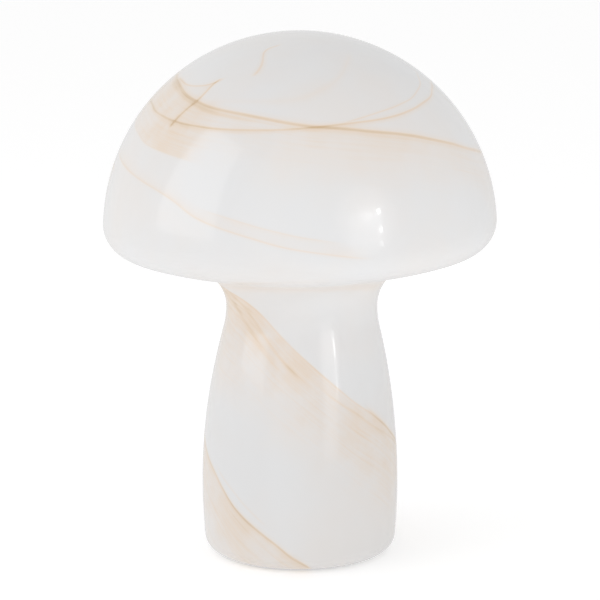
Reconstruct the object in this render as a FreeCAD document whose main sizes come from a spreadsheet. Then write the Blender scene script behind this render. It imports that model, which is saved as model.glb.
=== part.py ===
import FreeCAD, Part
import math
import os

import Sketcher

# A mushroom table lamp: one mouth-blown opal glass body that lifts off a steel base
# plate, a lamp holder for an E27 bulb standing on that plate, and the bulb itself.
# Lengths are in millimetres and angles in degrees. The lamp stands on z = 0 with its
# axis on Z, and +Y is its back, where the cord goes in.

doc = FreeCAD.newDocument("mushroom_lamp")

SIZES = {
    # Glass body, heights measured from the ring that it stands on
    "cap_radius": 110.0,
    "glass_height": 294.0,
    "rim_radius": 17.5,
    "rim_level": 189.0,
    "underside_radius": 185.0,
    "underside_centre": 29.0,
    "fillet_radius": 10.0,
    "neck_radius": 42.5,
    "neck_bow": 47.0,
    "stem_radius": 55.3,
    "stem_bow": 376.0,
    "stem_level": 36.5,
    "heel_radius": 8.4,
    "glass_wall": 3.2,
    "inner_heel_radius": 5.0,
    "glass_lift": 1.0,
    "dish_gap": 0.6,
    "dish_slope": 1.4,
    # Base plate and what is fixed to it
    "sheet_thickness": 1.2,
    "foot_height": 2.0,
    "foot_radius": 3.5,
    "foot_inset": 0.3,
    "foot_count": 3,
    "cup_radius": 33.0,
    "clip_space": 4.0,
    "flange_lap": 6.0,
    "cup_height": 16.0,
    "cup_bend": 2.4,
    "gasket_height": 0.8,
    "gasket_inset": 0.6,
    "inlet_level": 8.6,
    "inlet_radius": 3.2,
    "grommet_wall": 1.0,
    "grommet_lip": 0.8,
    "grommet_slack": 0.05,
    "notch_side": 5.0,
    "cover_level": 1.2,
    "cover_thickness": 1.5,
    "cover_skirt": 3.8,
    "cover_gap": 0.3,
    "cover_slot": 7.0,
    "rib_height": 0.2,
    # Spring clips and rivets
    "clip_count": 3,
    "clip_thickness": 0.5,
    "clip_width": 9.0,
    "clip_length": 13.0,
    "clip_gap": 0.3,
    "clip_bow_level": 5.6,
    "clip_tip_level": 4.4,
    "rivet_inset": 8.0,
    "rivet_radius": 1.6,
    "rivet_head_radius": 2.6,
    "rivet_head_height": 1.0,
    "rivet_clearance": 0.05,
    # Threaded tube, nut and washer
    "nipple_radius": 5.0,
    "nipple_bore": 3.6,
    "nipple_below": 3.8,
    "nipple_above": 8.0,
    "nipple_clearance": 0.1,
    "nut_flats": 13.0,
    "nut_height": 2.5,
    "washer_radius": 8.5,
    "washer_thickness": 0.8,
    "washer_tooth": 1.3,
    "washer_teeth": 12,
    # Lamp holder
    "holder_radius": 20.5,
    "holder_wall": 1.9,
    "boss_radius": 8.5,
    "boss_height": 7.8,
    "holder_cap_height": 17.2,
    "holder_band": 3.2,
    "collar_height": 8.0,
    "holder_gap": 0.3,
    "sleeve_height": 42.0,
    "sleeve_taper": 0.4,
    "holder_mouth": 14.6,
    "block_height": 8.0,
    "block_well": 7.0,
    "well_depth": 3.0,
    "terminal_offset": 10.0,
    "terminal_radius": 1.5,
    "terminal_head": 2.8,
    "terminal_head_height": 1.8,
    "terminal_depth": 5.0,
    "terminal_slot": 0.8,
    "contact_strip": 0.4,
    "contact_width": 6.0,
    "tongue_end": 3.0,
    # Screw thread shared by holder and bulb
    "screw_pitch": 3.629,
    "screw_turns": 5,
    "screw_major": 13.2,
    "screw_minor": 12.15,
    "screw_gap": 0.3,
    "shell_wall": 0.4,
    "shell_floor": 9.0,
    "thread_start": 5.5,
    "neutral_rise": 6.0,
    # Bulb
    "bulb_gap": 0.3,
    "tip_radius": 4.6,
    "tip_height": 1.0,
    "tip_stem": 3.0,
    "insulator_rise": 3.0,
    "insulator_radius": 6.5,
    "insulator_band": 2.4,
    "cap_skin": 0.5,
    "part_gap": 0.1,
    "housing_shoulder": 13.6,
    "housing_height": 31.7,
    "housing_wall": 1.6,
    "housing_depth": 10.0,
    "seat_radius": 24.6,
    "bulb_radius": 30.0,
    "bulb_top": 158.5,
    "bulb_wall": 1.4,
    "board_thickness": 1.6,
    "board_ledge": 2.0,
    "chip_side": 3.0,
    "chip_height": 0.8,
    "chip_circle": 14.0,
    "chip_count": 8,
    "driver_thickness": 1.2,
    "driver_half_width": 8.0,
    "capacitor_radius": 3.6,
    "capacitor_height": 13.0,
    "capacitor_level": 84.0,
}

sheet = doc.addObject("Spreadsheet::Sheet", "sizes")
for row, (alias, number) in enumerate(SIZES.items(), start=1):
    sheet.set("A%d" % row, alias)
    sheet.set("B%d" % row, repr(number))
    sheet.setAlias("B%d" % row, alias)
doc.recompute()


class Size:
    """A number that carries the sheet expression which gives it."""

    def __init__(self, value, text):
        self.value = float(value)
        self.text = text

    def _join(self, sign, other, result, swapped=False):
        other = as_size(other)
        first, second = (other, self) if swapped else (self, other)
        return Size(result(first.value, second.value), "(%s %s %s)" % (first.text, sign, second.text))

    def __add__(self, other):
        return self._join("+", other, lambda a, b: a + b)

    def __radd__(self, other):
        return self._join("+", other, lambda a, b: a + b, True)

    def __sub__(self, other):
        return self._join("-", other, lambda a, b: a - b)

    def __rsub__(self, other):
        return self._join("-", other, lambda a, b: a - b, True)

    def __mul__(self, other):
        return self._join("*", other, lambda a, b: a * b)

    def __rmul__(self, other):
        return self._join("*", other, lambda a, b: a * b, True)

    def __truediv__(self, other):
        return self._join("/", other, lambda a, b: a / b)

    def root(self):
        """Return the square root."""
        return Size(math.sqrt(self.value), "sqrt(%s)" % self.text)


def as_size(number):
    """Return a Size for a plain number, or the Size itself."""
    if isinstance(number, Size):
        return number
    return Size(number, repr(float(number)))


class Sheet:
    """The driving dimensions, each read by its name."""

    def __getattr__(self, alias):
        return Size(SIZES[alias], "sizes.%s" % alias)


s = Sheet()


def origin_plane(body, role):
    """Return one of a body's own origin planes or axes."""
    for feature in body.Origin.OriginFeatures:
        if feature.Role == role:
            return feature
    raise ValueError(role)


def new_body(name):
    """Return an empty body whose label is the name of its piece."""
    body = doc.addObject("PartDesign::Body", name)
    body.Label = name
    body.AllowCompound = True
    return body


def new_sketch(body, name, role="XZ_Plane", level=None):
    """Return a sketch on an origin plane, raised along the plane's normal to a level."""
    sketch = body.newObject("Sketcher::SketchObject", body.Name + "_" + name)
    sketch.AttachmentSupport = [(origin_plane(body, role), "")]
    sketch.MapMode = "FlatFace"
    if level is not None:
        level = as_size(level)
        sketch.AttachmentOffset = FreeCAD.Placement(FreeCAD.Vector(0, 0, level.value), FreeCAD.Rotation())
        sketch.setExpression("AttachmentOffset.Base.z", level.text)
    return sketch


def bind_constraint(sketch, kind, *where, size):
    """Add a dimension to a sketch and bind it to its size."""
    size = as_size(size)
    index = sketch.addConstraint(Sketcher.Constraint(kind, *where, size.value))
    sketch.setExpression("Constraints[%d]" % index, size.text)


def pin_point(sketch, line, end, across, up):
    """Hold one point of a sketch at two distances from the sketch's origin."""
    for kind, axis, size in (("DistanceX", -2, as_size(across)), ("DistanceY", -1, as_size(up))):
        if abs(size.value) < 1e-9:
            sketch.addConstraint(Sketcher.Constraint("PointOnObject", line, end, axis))
        elif size.value > 0:
            bind_constraint(sketch, kind, -1, 1, line, end, size=size)
        else:
            bind_constraint(sketch, kind, line, end, -1, 1, size=0 - size)


def draw_outline(sketch, corners):
    """Draw a closed outline of straight lines through corners given as sizes."""
    points = [FreeCAD.Vector(as_size(x).value, as_size(y).value, 0) for x, y in corners]
    lines = []
    for start, end in zip(points, points[1:] + points[:1]):
        lines.append(sketch.addGeometry(Part.LineSegment(start, end), False))
    for line, following in zip(lines, lines[1:] + lines[:1]):
        sketch.addConstraint(Sketcher.Constraint("Coincident", line, 2, following, 1))
    for line, (across, up) in zip(lines, corners):
        pin_point(sketch, line, 1, across, up)


def draw_circle(sketch, across, up, radius):
    """Draw a circle whose centre and radius are sizes."""
    centre = FreeCAD.Vector(as_size(across).value, as_size(up).value, 0)
    ring = sketch.addGeometry(Part.Circle(centre, FreeCAD.Vector(0, 0, 1), as_size(radius).value), False)
    pin_point(sketch, ring, 3, across, up)
    bind_constraint(sketch, "Radius", ring, size=radius)


def turn(body, sketch, kind="Revolution"):
    """Turn a sketch right round the body's Z axis, adding to it or grooving it."""
    feature = body.newObject("PartDesign::" + kind, sketch.Name + "_" + kind.lower())
    feature.Profile = sketch
    feature.ReferenceAxis = (sketch, ["V_Axis"])
    feature.Angle = 360
    sketch.Visibility = False
    return feature


def turned_body(name, corners):
    """Return a body made by turning one closed outline round Z."""
    body = new_body(name)
    sketch = new_sketch(body, "profile")
    draw_outline(sketch, corners)
    turn(body, sketch)
    return body


def pad(body, sketch, length, midplane=False):
    """Pad a sketch by a length."""
    feature = body.newObject("PartDesign::Pad", sketch.Name + "_pad")
    feature.Profile = sketch
    length = as_size(length)
    feature.Length = length.value
    feature.setExpression("Length", length.text)
    feature.Midplane = midplane
    return feature


def cut_through(body, sketch, towards_normal=True):
    """Cut a sketch right through the body on one side of the sketch's plane."""
    doc.recompute()
    before = body.Shape.Volume
    feature = body.newObject("PartDesign::Pocket", sketch.Name + "_pocket")
    feature.Profile = sketch
    feature.Type = "ThroughAll"
    feature.Reversed = towards_normal
    doc.recompute()
    if not feature.Shape.Volume < before - 1e-3:
        raise RuntimeError("%s cuts nothing" % feature.Name)
    return feature


def repeat_round(body, features, count):
    """Repeat features evenly round Z."""
    pattern = body.newObject("PartDesign::PolarPattern", body.Name + "_" + features[0].Name + "_round")
    pattern.Originals = features
    pattern.Axis = (origin_plane(body, "Z_Axis"), [""])
    pattern.Angle = 360
    pattern.Occurrences = int(count.value)
    pattern.setExpression("Occurrences", count.text)
    body.Tip = pattern
    return pattern


def round_edges(body, radius, rings, name):
    """Round the circular edges that lie at the given radii and heights."""
    doc.recompute()
    wanted = [(as_size(r).value, as_size(z).value) for r, z in rings]
    names = []
    for number, edge in enumerate(body.Shape.Edges, start=1):
        if not isinstance(edge.Curve, Part.Circle):
            continue
        place = (edge.Curve.Radius, edge.Curve.Center.z)
        if any(math.dist(place, ring) < 0.01 for ring in wanted):
            names.append("Edge%d" % number)
    if not names:
        raise RuntimeError("%s finds no edge" % name)
    base = body.Tip
    feature = body.newObject("PartDesign::Fillet", body.Name + "_" + name)
    feature.Base = (base, names)
    radius = as_size(radius)
    feature.Radius = radius.value
    feature.setExpression("Radius", radius.text)
    return feature


# ---------------------------------------------------------------- glass body

GLASS_FOOT = s.glass_lift


class Arc:
    """One arc of the glass outline: its centre and its radius."""

    def __init__(self, across, up, radius):
        self.across = across
        self.up = up
        self.radius = radius

    def centre(self):
        """Return the centre as numbers."""
        return as_size(self.across).value, as_size(self.up).value

    def meets(self, other):
        """Return the point where this arc runs smoothly into another."""
        (x1, y1), (x2, y2) = self.centre(), other.centre()
        gap = math.dist((x1, y1), (x2, y2))
        r1, r2 = self.radius.value, other.radius.value
        side = 1.0 if r1 > r2 or gap > max(r1, r2) else -1.0
        return x1 + side * (x2 - x1) / gap * r1, y1 + side * (y2 - y1) / gap * r1


def glass_arcs(skin, floor, heel):
    """Return the arcs of the glass from crown to heel, a skin thickness inside the outer face.

    Each arc runs smoothly into the next: dome, rim, underside, fillet, neck, stem, heel.
    """
    dome = Arc(0, GLASS_FOOT + s.glass_height - s.cap_radius, s.cap_radius - skin)
    rim_level = GLASS_FOOT + s.rim_level
    drop = rim_level - dome.up
    span = s.cap_radius - s.rim_radius
    rim = Arc((span * span - drop * drop).root(), rim_level, s.rim_radius - skin)
    reach = s.underside_radius - s.rim_radius
    offset = rim.across - s.underside_centre
    under = Arc(s.underside_centre, rim.up + (reach * reach - offset * offset).root(), s.underside_radius - skin)
    stem = Arc(s.stem_radius - s.stem_bow, GLASS_FOOT + s.stem_level, s.stem_bow - skin)
    link = s.stem_bow + s.neck_bow
    side = s.neck_radius + s.neck_bow - stem.across
    neck = Arc(s.neck_radius + s.neck_bow, stem.up + (link * link - side * side).root(), s.neck_bow + skin)
    fillet = fillet_arc(under, neck, skin)
    heel_up = floor + heel
    inner = s.stem_bow - skin - heel
    rise = stem.up - heel_up
    foot = Arc(stem.across + (inner * inner - rise * rise).root(), heel_up, heel)
    return [dome, rim, under, fillet, neck, stem, foot]


def fillet_arc(under, neck, skin):
    """Return the small arc in the crease, smooth with the underside and the neck."""
    across = neck.across - under.across
    up = neck.up - under.up
    apart = (across * across + up * up).root()
    far = s.underside_radius + s.fillet_radius
    near = s.neck_bow - s.fillet_radius
    along = (far * far - near * near + apart * apart) / (2 * apart)
    aside = (far * far - along * along).root()
    return Arc(
        under.across + (along * across + aside * up) / apart,
        under.up + (along * up - aside * across) / apart,
        s.fillet_radius + skin,
    )


def draw_glass(sketch, skin, floor, heel):
    """Draw half of the glass section: smooth arcs from the axis to the floor, then back."""
    arcs = glass_arcs(skin, floor, heel)
    dome = arcs[0]
    points = [(0.0, dome.up.value + dome.radius.value)]
    points += [first.meets(second) for first, second in zip(arcs, arcs[1:])]
    points += [(arcs[-1].across.value, floor.value)]
    curves = []
    for arc, start, end in zip(arcs, points, points[1:]):
        x, y = arc.centre()
        angles = [math.atan2(p[1] - y, p[0] - x) for p in (start, end)]
        circle = Part.Circle(FreeCAD.Vector(x, y, 0), FreeCAD.Vector(0, 0, 1), arc.radius.value)
        hollow = arc in arcs[3:5]
        if hollow:
            angles = [a % (2 * math.pi) for a in angles]
        low, high = sorted(angles)
        curve = sketch.addGeometry(Part.ArcOfCircle(circle, low, high), False)
        starts_high = angles[0] > angles[1]
        curves.append((curve, 2 if starts_high else 1, 1 if starts_high else 2))
    bottom = sketch.addGeometry(
        Part.LineSegment(FreeCAD.Vector(*points[-1], 0), FreeCAD.Vector(0, floor.value, 0)), False
    )
    axis = sketch.addGeometry(
        Part.LineSegment(FreeCAD.Vector(0, floor.value, 0), FreeCAD.Vector(*points[0], 0)), False
    )
    for (curve, _, tail), (after, head, _) in zip(curves, curves[1:]):
        sketch.addConstraint(Sketcher.Constraint("Tangent", curve, tail, after, head))
    sketch.addConstraint(Sketcher.Constraint("Tangent", curves[-1][0], curves[-1][2], bottom, 1))
    sketch.addConstraint(Sketcher.Constraint("Coincident", bottom, 2, axis, 1))
    sketch.addConstraint(Sketcher.Constraint("Coincident", axis, 2, curves[0][0], curves[0][1]))
    sketch.addConstraint(Sketcher.Constraint("Vertical", axis))
    sketch.addConstraint(Sketcher.Constraint("Horizontal", bottom))
    pin_point(sketch, bottom, 2, 0, floor)
    for (curve, _, _), arc in zip(curves, arcs):
        bind_constraint(sketch, "Radius", curve, size=arc.radius)
    dome_curve, rim_curve, under_curve, _, neck_curve, stem_curve, _ = [c[0] for c in curves]
    pin_point(sketch, dome_curve, 3, 0, dome.up)
    bind_constraint(sketch, "DistanceY", -1, 1, rim_curve, 3, size=arcs[1].up)
    bind_constraint(sketch, "DistanceX", -1, 1, under_curve, 3, size=arcs[2].across)
    bind_constraint(sketch, "DistanceX", -1, 1, neck_curve, 3, size=arcs[4].across)
    pin_point(sketch, stem_curve, 3, arcs[5].across, arcs[5].up)


MOUTH_RADIUS = s.cup_radius + s.clip_space
FLANGE_RADIUS = MOUTH_RADIUS + s.flange_lap
DISH_RADIUS = FLANGE_RADIUS + s.dish_gap
RIVET_CIRCLE = s.cup_radius - s.rivet_inset
FOOT_CIRCLE = FLANGE_RADIUS - s.foot_inset - s.foot_radius
FLANGE_TOP = s.foot_height + s.sheet_thickness
LIP_UNDERSIDE = FLANGE_TOP + s.gasket_height
LIP_TOP = LIP_UNDERSIDE + s.glass_wall


def make_glass():
    """Blow the cap, neck and stem as one piece, hollow, with a lipped mouth underneath."""
    body = new_body("glass_shade")
    outer = new_sketch(body, "outer")
    draw_glass(outer, as_size(0), GLASS_FOOT, s.heel_radius)
    turn(body, outer)
    hollow = new_sketch(body, "hollow")
    draw_glass(hollow, s.glass_wall, LIP_TOP, s.inner_heel_radius)
    turn(body, hollow, "Groove")
    # The mouth, and the dish round it that clears the base plate and its gasket
    mouth = new_sketch(body, "mouth")
    ring = DISH_RADIUS + s.dish_slope
    below = GLASS_FOOT - 1
    draw_outline(mouth, [
        (0, below), (ring, below), (ring, GLASS_FOOT), (DISH_RADIUS, LIP_UNDERSIDE),
        (MOUTH_RADIUS, LIP_UNDERSIDE), (MOUTH_RADIUS, LIP_TOP + 1), (0, LIP_TOP + 1),
    ])
    turn(body, mouth, "Groove")
    # The notch at the back that lets the cord out and still lets the glass lift
    notch = new_sketch(body, "notch")
    draw_arch(notch, s.notch_side, s.inlet_level)
    cut_through(body, notch, towards_normal=False)
    return body


def draw_arch(sketch, side, level):
    """Draw a slot that is open below and half round above."""
    r, up = side.value, level.value
    arch = sketch.addGeometry(Part.ArcOfCircle(
        Part.Circle(FreeCAD.Vector(0, up, 0), FreeCAD.Vector(0, 0, 1), r), 0, math.pi), False)
    corners = [(-r, up), (-r, 0), (r, 0), (r, up)]
    lines = []
    for start, end in zip(corners, corners[1:]):
        lines.append(sketch.addGeometry(
            Part.LineSegment(FreeCAD.Vector(*start, 0), FreeCAD.Vector(*end, 0)), False))
    sketch.addConstraint(Sketcher.Constraint("Tangent", arch, 2, lines[0], 1))
    sketch.addConstraint(Sketcher.Constraint("Tangent", arch, 1, lines[2], 2))
    sketch.addConstraint(Sketcher.Constraint("Coincident", lines[0], 2, lines[1], 1))
    sketch.addConstraint(Sketcher.Constraint("Coincident", lines[1], 2, lines[2], 1))
    sketch.addConstraint(Sketcher.Constraint("Vertical", lines[0]))
    sketch.addConstraint(Sketcher.Constraint("PointOnObject", lines[0], 2, -1))
    sketch.addConstraint(Sketcher.Constraint("PointOnObject", lines[1], 2, -1))
    pin_point(sketch, arch, 3, 0, level)
    bind_constraint(sketch, "Radius", arch, size=side)


# ---------------------------------------------------------------- base

CUP_INNER = s.cup_radius - s.sheet_thickness
CUP_FLOOR = s.cup_height - s.sheet_thickness
HOLE_RADIUS = s.inlet_radius + s.grommet_wall
BUSH_RADIUS = HOLE_RADIUS - s.grommet_slack


def make_base_plate():
    """Press the flange and the raised cup from one sheet, with holes for tube, rivets and cord."""
    bore = s.nipple_radius + s.nipple_clearance
    body = turned_body("base_plate", [
        (bore, CUP_FLOOR), (CUP_INNER, CUP_FLOOR), (CUP_INNER, s.foot_height),
        (FLANGE_RADIUS, s.foot_height), (FLANGE_RADIUS, FLANGE_TOP),
        (s.cup_radius, FLANGE_TOP), (s.cup_radius, s.cup_height), (bore, s.cup_height),
    ])
    round_edges(body, s.cup_bend, [(s.cup_radius, s.cup_height)], "outer_bend")
    round_edges(body, s.cup_bend - s.sheet_thickness, [(CUP_INNER, CUP_FLOOR)], "inner_bend")
    rivet_hole = new_sketch(body, "rivet_hole", "XY_Plane")
    draw_circle(rivet_hole, RIVET_CIRCLE, 0, s.rivet_radius + s.rivet_clearance)
    hole = cut_through(body, rivet_hole)
    repeat_round(body, [hole], s.clip_count)
    inlet = new_sketch(body, "inlet")
    draw_circle(inlet, 0, s.inlet_level, HOLE_RADIUS)
    cut_through(body, inlet, towards_normal=False)
    return body


def make_gasket():
    """Lay a flat silicone ring between the flange and the glass lip."""
    return turned_body("glass_gasket", [
        (MOUTH_RADIUS + s.gasket_inset, FLANGE_TOP), (FLANGE_RADIUS, FLANGE_TOP),
        (FLANGE_RADIUS, LIP_UNDERSIDE), (MOUTH_RADIUS + s.gasket_inset, LIP_UNDERSIDE),
    ])


def make_feet():
    """Stick rubber feet under the flange."""
    body = new_body("rubber_feet")
    sketch = new_sketch(body, "round", "XY_Plane")
    draw_circle(sketch, 0, FOOT_CIRCLE, s.foot_radius)
    foot = pad(body, sketch, s.foot_height)
    repeat_round(body, [foot], s.foot_count)
    return body


def make_cover():
    """Mould the cover that snaps into the cup from below, slotted where the cord comes in."""
    top = s.cover_level + s.cover_thickness
    outer = CUP_INNER - s.cover_gap
    inner = outer - s.cover_thickness
    crest = outer + s.rib_height
    skirt_top = top + s.cover_skirt
    body = turned_body("bottom_cover", [
        (0, s.cover_level), (outer, s.cover_level), (outer, skirt_top - s.cover_thickness),
        (crest, skirt_top - s.cover_thickness / 2), (outer, skirt_top), (inner, skirt_top),
        (inner, top), (0, top),
    ])
    slot = new_sketch(body, "slot")
    draw_outline(slot, [
        (0 - s.cover_slot, top), (s.cover_slot, top),
        (s.cover_slot, skirt_top + 1), (0 - s.cover_slot, skirt_top + 1),
    ])
    cut_through(body, slot, towards_normal=False)
    return body


def make_grommet():
    """Turn a rubber bush whose groove grips the cup's wall, and lay it along Y."""
    body = new_body("cable_grommet")
    sketch = new_sketch(body, "section", "YZ_Plane")
    flange = BUSH_RADIUS + s.grommet_lip
    # The cup's wall is round, so the groove also takes the bow of the wall over the flange
    bow = s.cup_radius - (s.cup_radius * s.cup_radius - flange * flange).root()
    inside = CUP_INNER - bow - s.grommet_slack
    outside = s.cup_radius + s.grommet_slack
    back = inside - s.grommet_wall
    front = outside + s.grommet_wall
    level = s.inlet_level
    draw_outline(sketch, [
        (back, level + s.inlet_radius), (front, level + s.inlet_radius), (front, level + flange),
        (outside, level + flange), (outside, level + BUSH_RADIUS), (inside, level + BUSH_RADIUS),
        (inside, level + flange), (back, level + flange),
    ])
    axis = sketch.addGeometry(
        Part.LineSegment(FreeCAD.Vector(0, level.value, 0), FreeCAD.Vector(front.value, level.value, 0)), True)
    pin_point(sketch, axis, 1, 0, level)
    pin_point(sketch, axis, 2, front, level)
    feature = body.newObject("PartDesign::Revolution", "grommet_turned")
    feature.Profile = sketch
    feature.ReferenceAxis = (sketch, ["Axis0"])
    feature.Angle = 360
    return body


def make_clips():
    """Bend leaf springs that are riveted on the cup and bear on the wall of the glass mouth."""
    t = s.clip_thickness
    top = s.cup_height
    clip_inner = s.cup_radius - s.clip_length
    bend = s.cup_radius + s.clip_gap
    # A flat leaf touches the round wall at its two corners, so its bow stands that much further in
    corner = s.clip_width / 2
    reach = MOUTH_RADIUS - s.clip_gap
    bow = (reach * reach - corner * corner).root()
    body = new_body("spring_clips")
    side = new_sketch(body, "side")
    draw_outline(side, [
        (clip_inner, top), (bend, top), (bow - t, s.clip_bow_level),
        (bend, s.clip_tip_level), (bend + t, s.clip_tip_level - t), (bow, s.clip_bow_level),
        (bend + t, top + t), (clip_inner, top + t),
    ])
    leaf = pad(body, side, s.clip_width, midplane=True)
    hole_sketch = new_sketch(body, "hole", "XY_Plane")
    draw_circle(hole_sketch, RIVET_CIRCLE, 0, s.rivet_radius + s.rivet_clearance)
    hole = cut_through(body, hole_sketch)
    repeat_round(body, [leaf, hole], s.clip_count)
    return body


def make_rivets():
    """Set one rivet through each clip and the cup."""
    body = new_body("clip_rivets")
    low = CUP_FLOOR - s.rivet_head_height
    grip_top = s.cup_height + s.clip_thickness
    heads = [
        ("lower_head", s.rivet_head_radius, low, s.rivet_head_height),
        ("shank", s.rivet_radius, CUP_FLOOR, grip_top - CUP_FLOOR),
        ("upper_head", s.rivet_head_radius, grip_top, s.rivet_head_height),
    ]
    features = []
    for name, radius, level, height in heads:
        sketch = new_sketch(body, name, "XY_Plane", level)
        draw_circle(sketch, RIVET_CIRCLE, 0, radius)
        features.append(pad(body, sketch, height))
    repeat_round(body, features, s.clip_count)
    return body


# ---------------------------------------------------------------- threaded tube

WASHER_TOP = s.cup_height + s.washer_thickness
NUT_LOW = CUP_FLOOR - s.nut_height


def make_nipple():
    """Turn the threaded tube that carries the lamp holder and lets the cord's cores through."""
    low = CUP_FLOOR - s.nipple_below
    high = s.cup_height + s.nipple_above
    edge = s.nipple_radius - s.nipple_clearance * 4
    cut = s.nipple_clearance * 4
    return turned_body("threaded_nipple", [
        (s.nipple_bore, low), (edge, low), (s.nipple_radius, low + cut), (s.nipple_radius, high - cut),
        (edge, high), (s.nipple_bore, high),
    ])


def draw_polygon(sketch, count, radius, inner=None):
    """Draw a regular polygon, or a toothed star where an inner radius is given."""
    steps = count if inner is None else 2 * count
    corners = []
    for step in range(steps):
        angle = 2 * math.pi * step / steps
        reach = radius if inner is None or step % 2 == 0 else inner
        corners.append((reach * round(math.cos(angle), 9), reach * round(math.sin(angle), 9)))
    draw_outline(sketch, corners)


def make_nut():
    """Cut the hexagon nut that holds the tube from inside the cup."""
    body = new_body("nipple_nut")
    sketch = new_sketch(body, "hexagon", "XY_Plane", NUT_LOW)
    draw_polygon(sketch, 6, s.nut_flats / (3 ** 0.5))
    draw_circle(sketch, 0, 0, s.nipple_radius + s.nipple_clearance)
    pad(body, sketch, s.nut_height)
    return body


def make_washer():
    """Stamp the toothed washer that keeps the lamp holder from turning."""
    body = new_body("toothed_washer")
    sketch = new_sketch(body, "teeth", "XY_Plane", s.cup_height)
    draw_polygon(sketch, SIZES["washer_teeth"], s.washer_radius, s.washer_radius - s.washer_tooth)
    draw_circle(sketch, 0, 0, s.nipple_radius + s.nipple_clearance)
    pad(body, sketch, s.washer_thickness)
    return body


# ---------------------------------------------------------------- lamp holder

BAND_TOP = WASHER_TOP + s.holder_cap_height
COLLAR_TOP = BAND_TOP + s.collar_height
COLLAR_RADIUS = s.holder_radius - s.holder_wall - s.holder_gap
BLOCK_RADIUS = COLLAR_RADIUS - s.sleeve_taper
BLOCK_TOP = COLLAR_TOP + s.block_height
WELL_FLOOR = BLOCK_TOP - s.well_depth
SLEEVE_TOP = BAND_TOP + s.sleeve_height


def make_holder_cap():
    """Mould the domed lower part of the lamp holder, with a boss for the tube and a collar."""
    bore = s.nipple_radius + s.nipple_clearance
    band_low = BAND_TOP - s.holder_band
    wall = s.holder_wall
    boss_top = WASHER_TOP + s.boss_height
    flare = (s.boss_radius + s.holder_radius) / 2
    flare_level = (boss_top + band_low) / 2 - s.holder_band / 2
    return turned_body("holder_cap", [
        (bore, WASHER_TOP), (s.boss_radius, WASHER_TOP), (s.boss_radius, boss_top - wall),
        (flare, flare_level - wall / 2), (s.holder_radius, band_low), (s.holder_radius, BAND_TOP),
        (COLLAR_RADIUS, BAND_TOP), (COLLAR_RADIUS, COLLAR_TOP), (COLLAR_RADIUS - wall, COLLAR_TOP),
        (COLLAR_RADIUS - wall, band_low + wall), (flare, flare_level + wall),
        (s.boss_radius, boss_top), (bore, boss_top),
    ])


def make_holder_sleeve():
    """Mould the tapered skirt that slides over the collar and stops at the band."""
    inner = s.holder_radius - s.holder_wall
    outer_top = s.holder_radius - s.sleeve_taper
    inner_top = outer_top - s.holder_wall
    return turned_body("holder_sleeve", [
        (inner, BAND_TOP), (s.holder_radius, BAND_TOP), (outer_top, SLEEVE_TOP - s.holder_wall),
        (outer_top - s.holder_wall / 2, SLEEVE_TOP), (s.holder_mouth, SLEEVE_TOP),
        (s.holder_mouth, SLEEVE_TOP - s.holder_wall), (inner_top, SLEEVE_TOP - s.holder_wall),
    ])


NEUTRAL_X = s.screw_major + s.screw_gap + s.shell_wall + s.screw_gap


def make_contact_block():
    """Mould the insert that carries the contacts, with a well and holes for the terminals."""
    body = turned_body("contact_block", [
        (0, COLLAR_TOP), (BLOCK_RADIUS, COLLAR_TOP), (BLOCK_RADIUS, BLOCK_TOP),
        (s.block_well, BLOCK_TOP), (s.block_well, WELL_FLOOR), (0, WELL_FLOOR),
    ])
    slot = new_sketch(body, "neutral_slot", "XY_Plane", BLOCK_TOP - s.terminal_depth)
    half = s.contact_width / 2 + s.part_gap
    outer = NEUTRAL_X + s.contact_strip + s.part_gap
    inner = NEUTRAL_X - s.part_gap
    draw_outline(slot, [(0 - outer, 0 - half), (0 - inner, 0 - half), (0 - inner, half), (0 - outer, half)])
    cut_through(body, slot)
    for name, side in (("live_hole", 1), ("neutral_hole", -1)):
        hole = new_sketch(body, name, "XY_Plane")
        draw_circle(hole, 0, side * s.terminal_offset, s.terminal_radius + s.part_gap)
        bore = body.newObject("PartDesign::Pocket", name + "_pocket")
        bore.Profile = hole
        bore.Reversed = True
        depth = COLLAR_TOP + s.terminal_depth + s.part_gap
        bore.Length = depth.value
        bore.setExpression("Length", depth.text)
    return body


def thread_corners(minor, major, start, flat):
    """Return the rings of a thread: root, rise, crest and fall for each turn."""
    corners = []
    for ring in range(SIZES["screw_turns"]):
        low = start + ring * s.screw_pitch
        corners += [
            (minor, low), (minor, low + flat), (major, low + s.screw_pitch / 2 - flat / 2),
            (major, low + s.screw_pitch / 2 + flat / 2),
        ]
    corners.append((minor, start + SIZES["screw_turns"] * s.screw_pitch))
    return corners


THREAD_LOW = BLOCK_TOP + s.thread_start
THREAD_FLAT = s.screw_pitch / 4
THREAD_TOP = THREAD_LOW + SIZES["screw_turns"] * s.screw_pitch


def make_screw_shell():
    """Roll the thin threaded shell that the bulb screws into."""
    inside = thread_corners(s.screw_minor + s.screw_gap, s.screw_major + s.screw_gap, THREAD_LOW, THREAD_FLAT)
    skin = s.shell_wall
    major = s.screw_major + s.screw_gap
    floor = [
        (s.shell_floor, BLOCK_TOP), (major + skin, BLOCK_TOP), (major + skin, THREAD_TOP + skin),
        (major, THREAD_TOP + skin),
    ]
    lead = [(s.screw_minor + s.screw_gap, BLOCK_TOP + skin), (s.shell_floor, BLOCK_TOP + skin)]
    return turned_body("holder_screw_shell", floor + inside[::-1] + lead)


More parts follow.
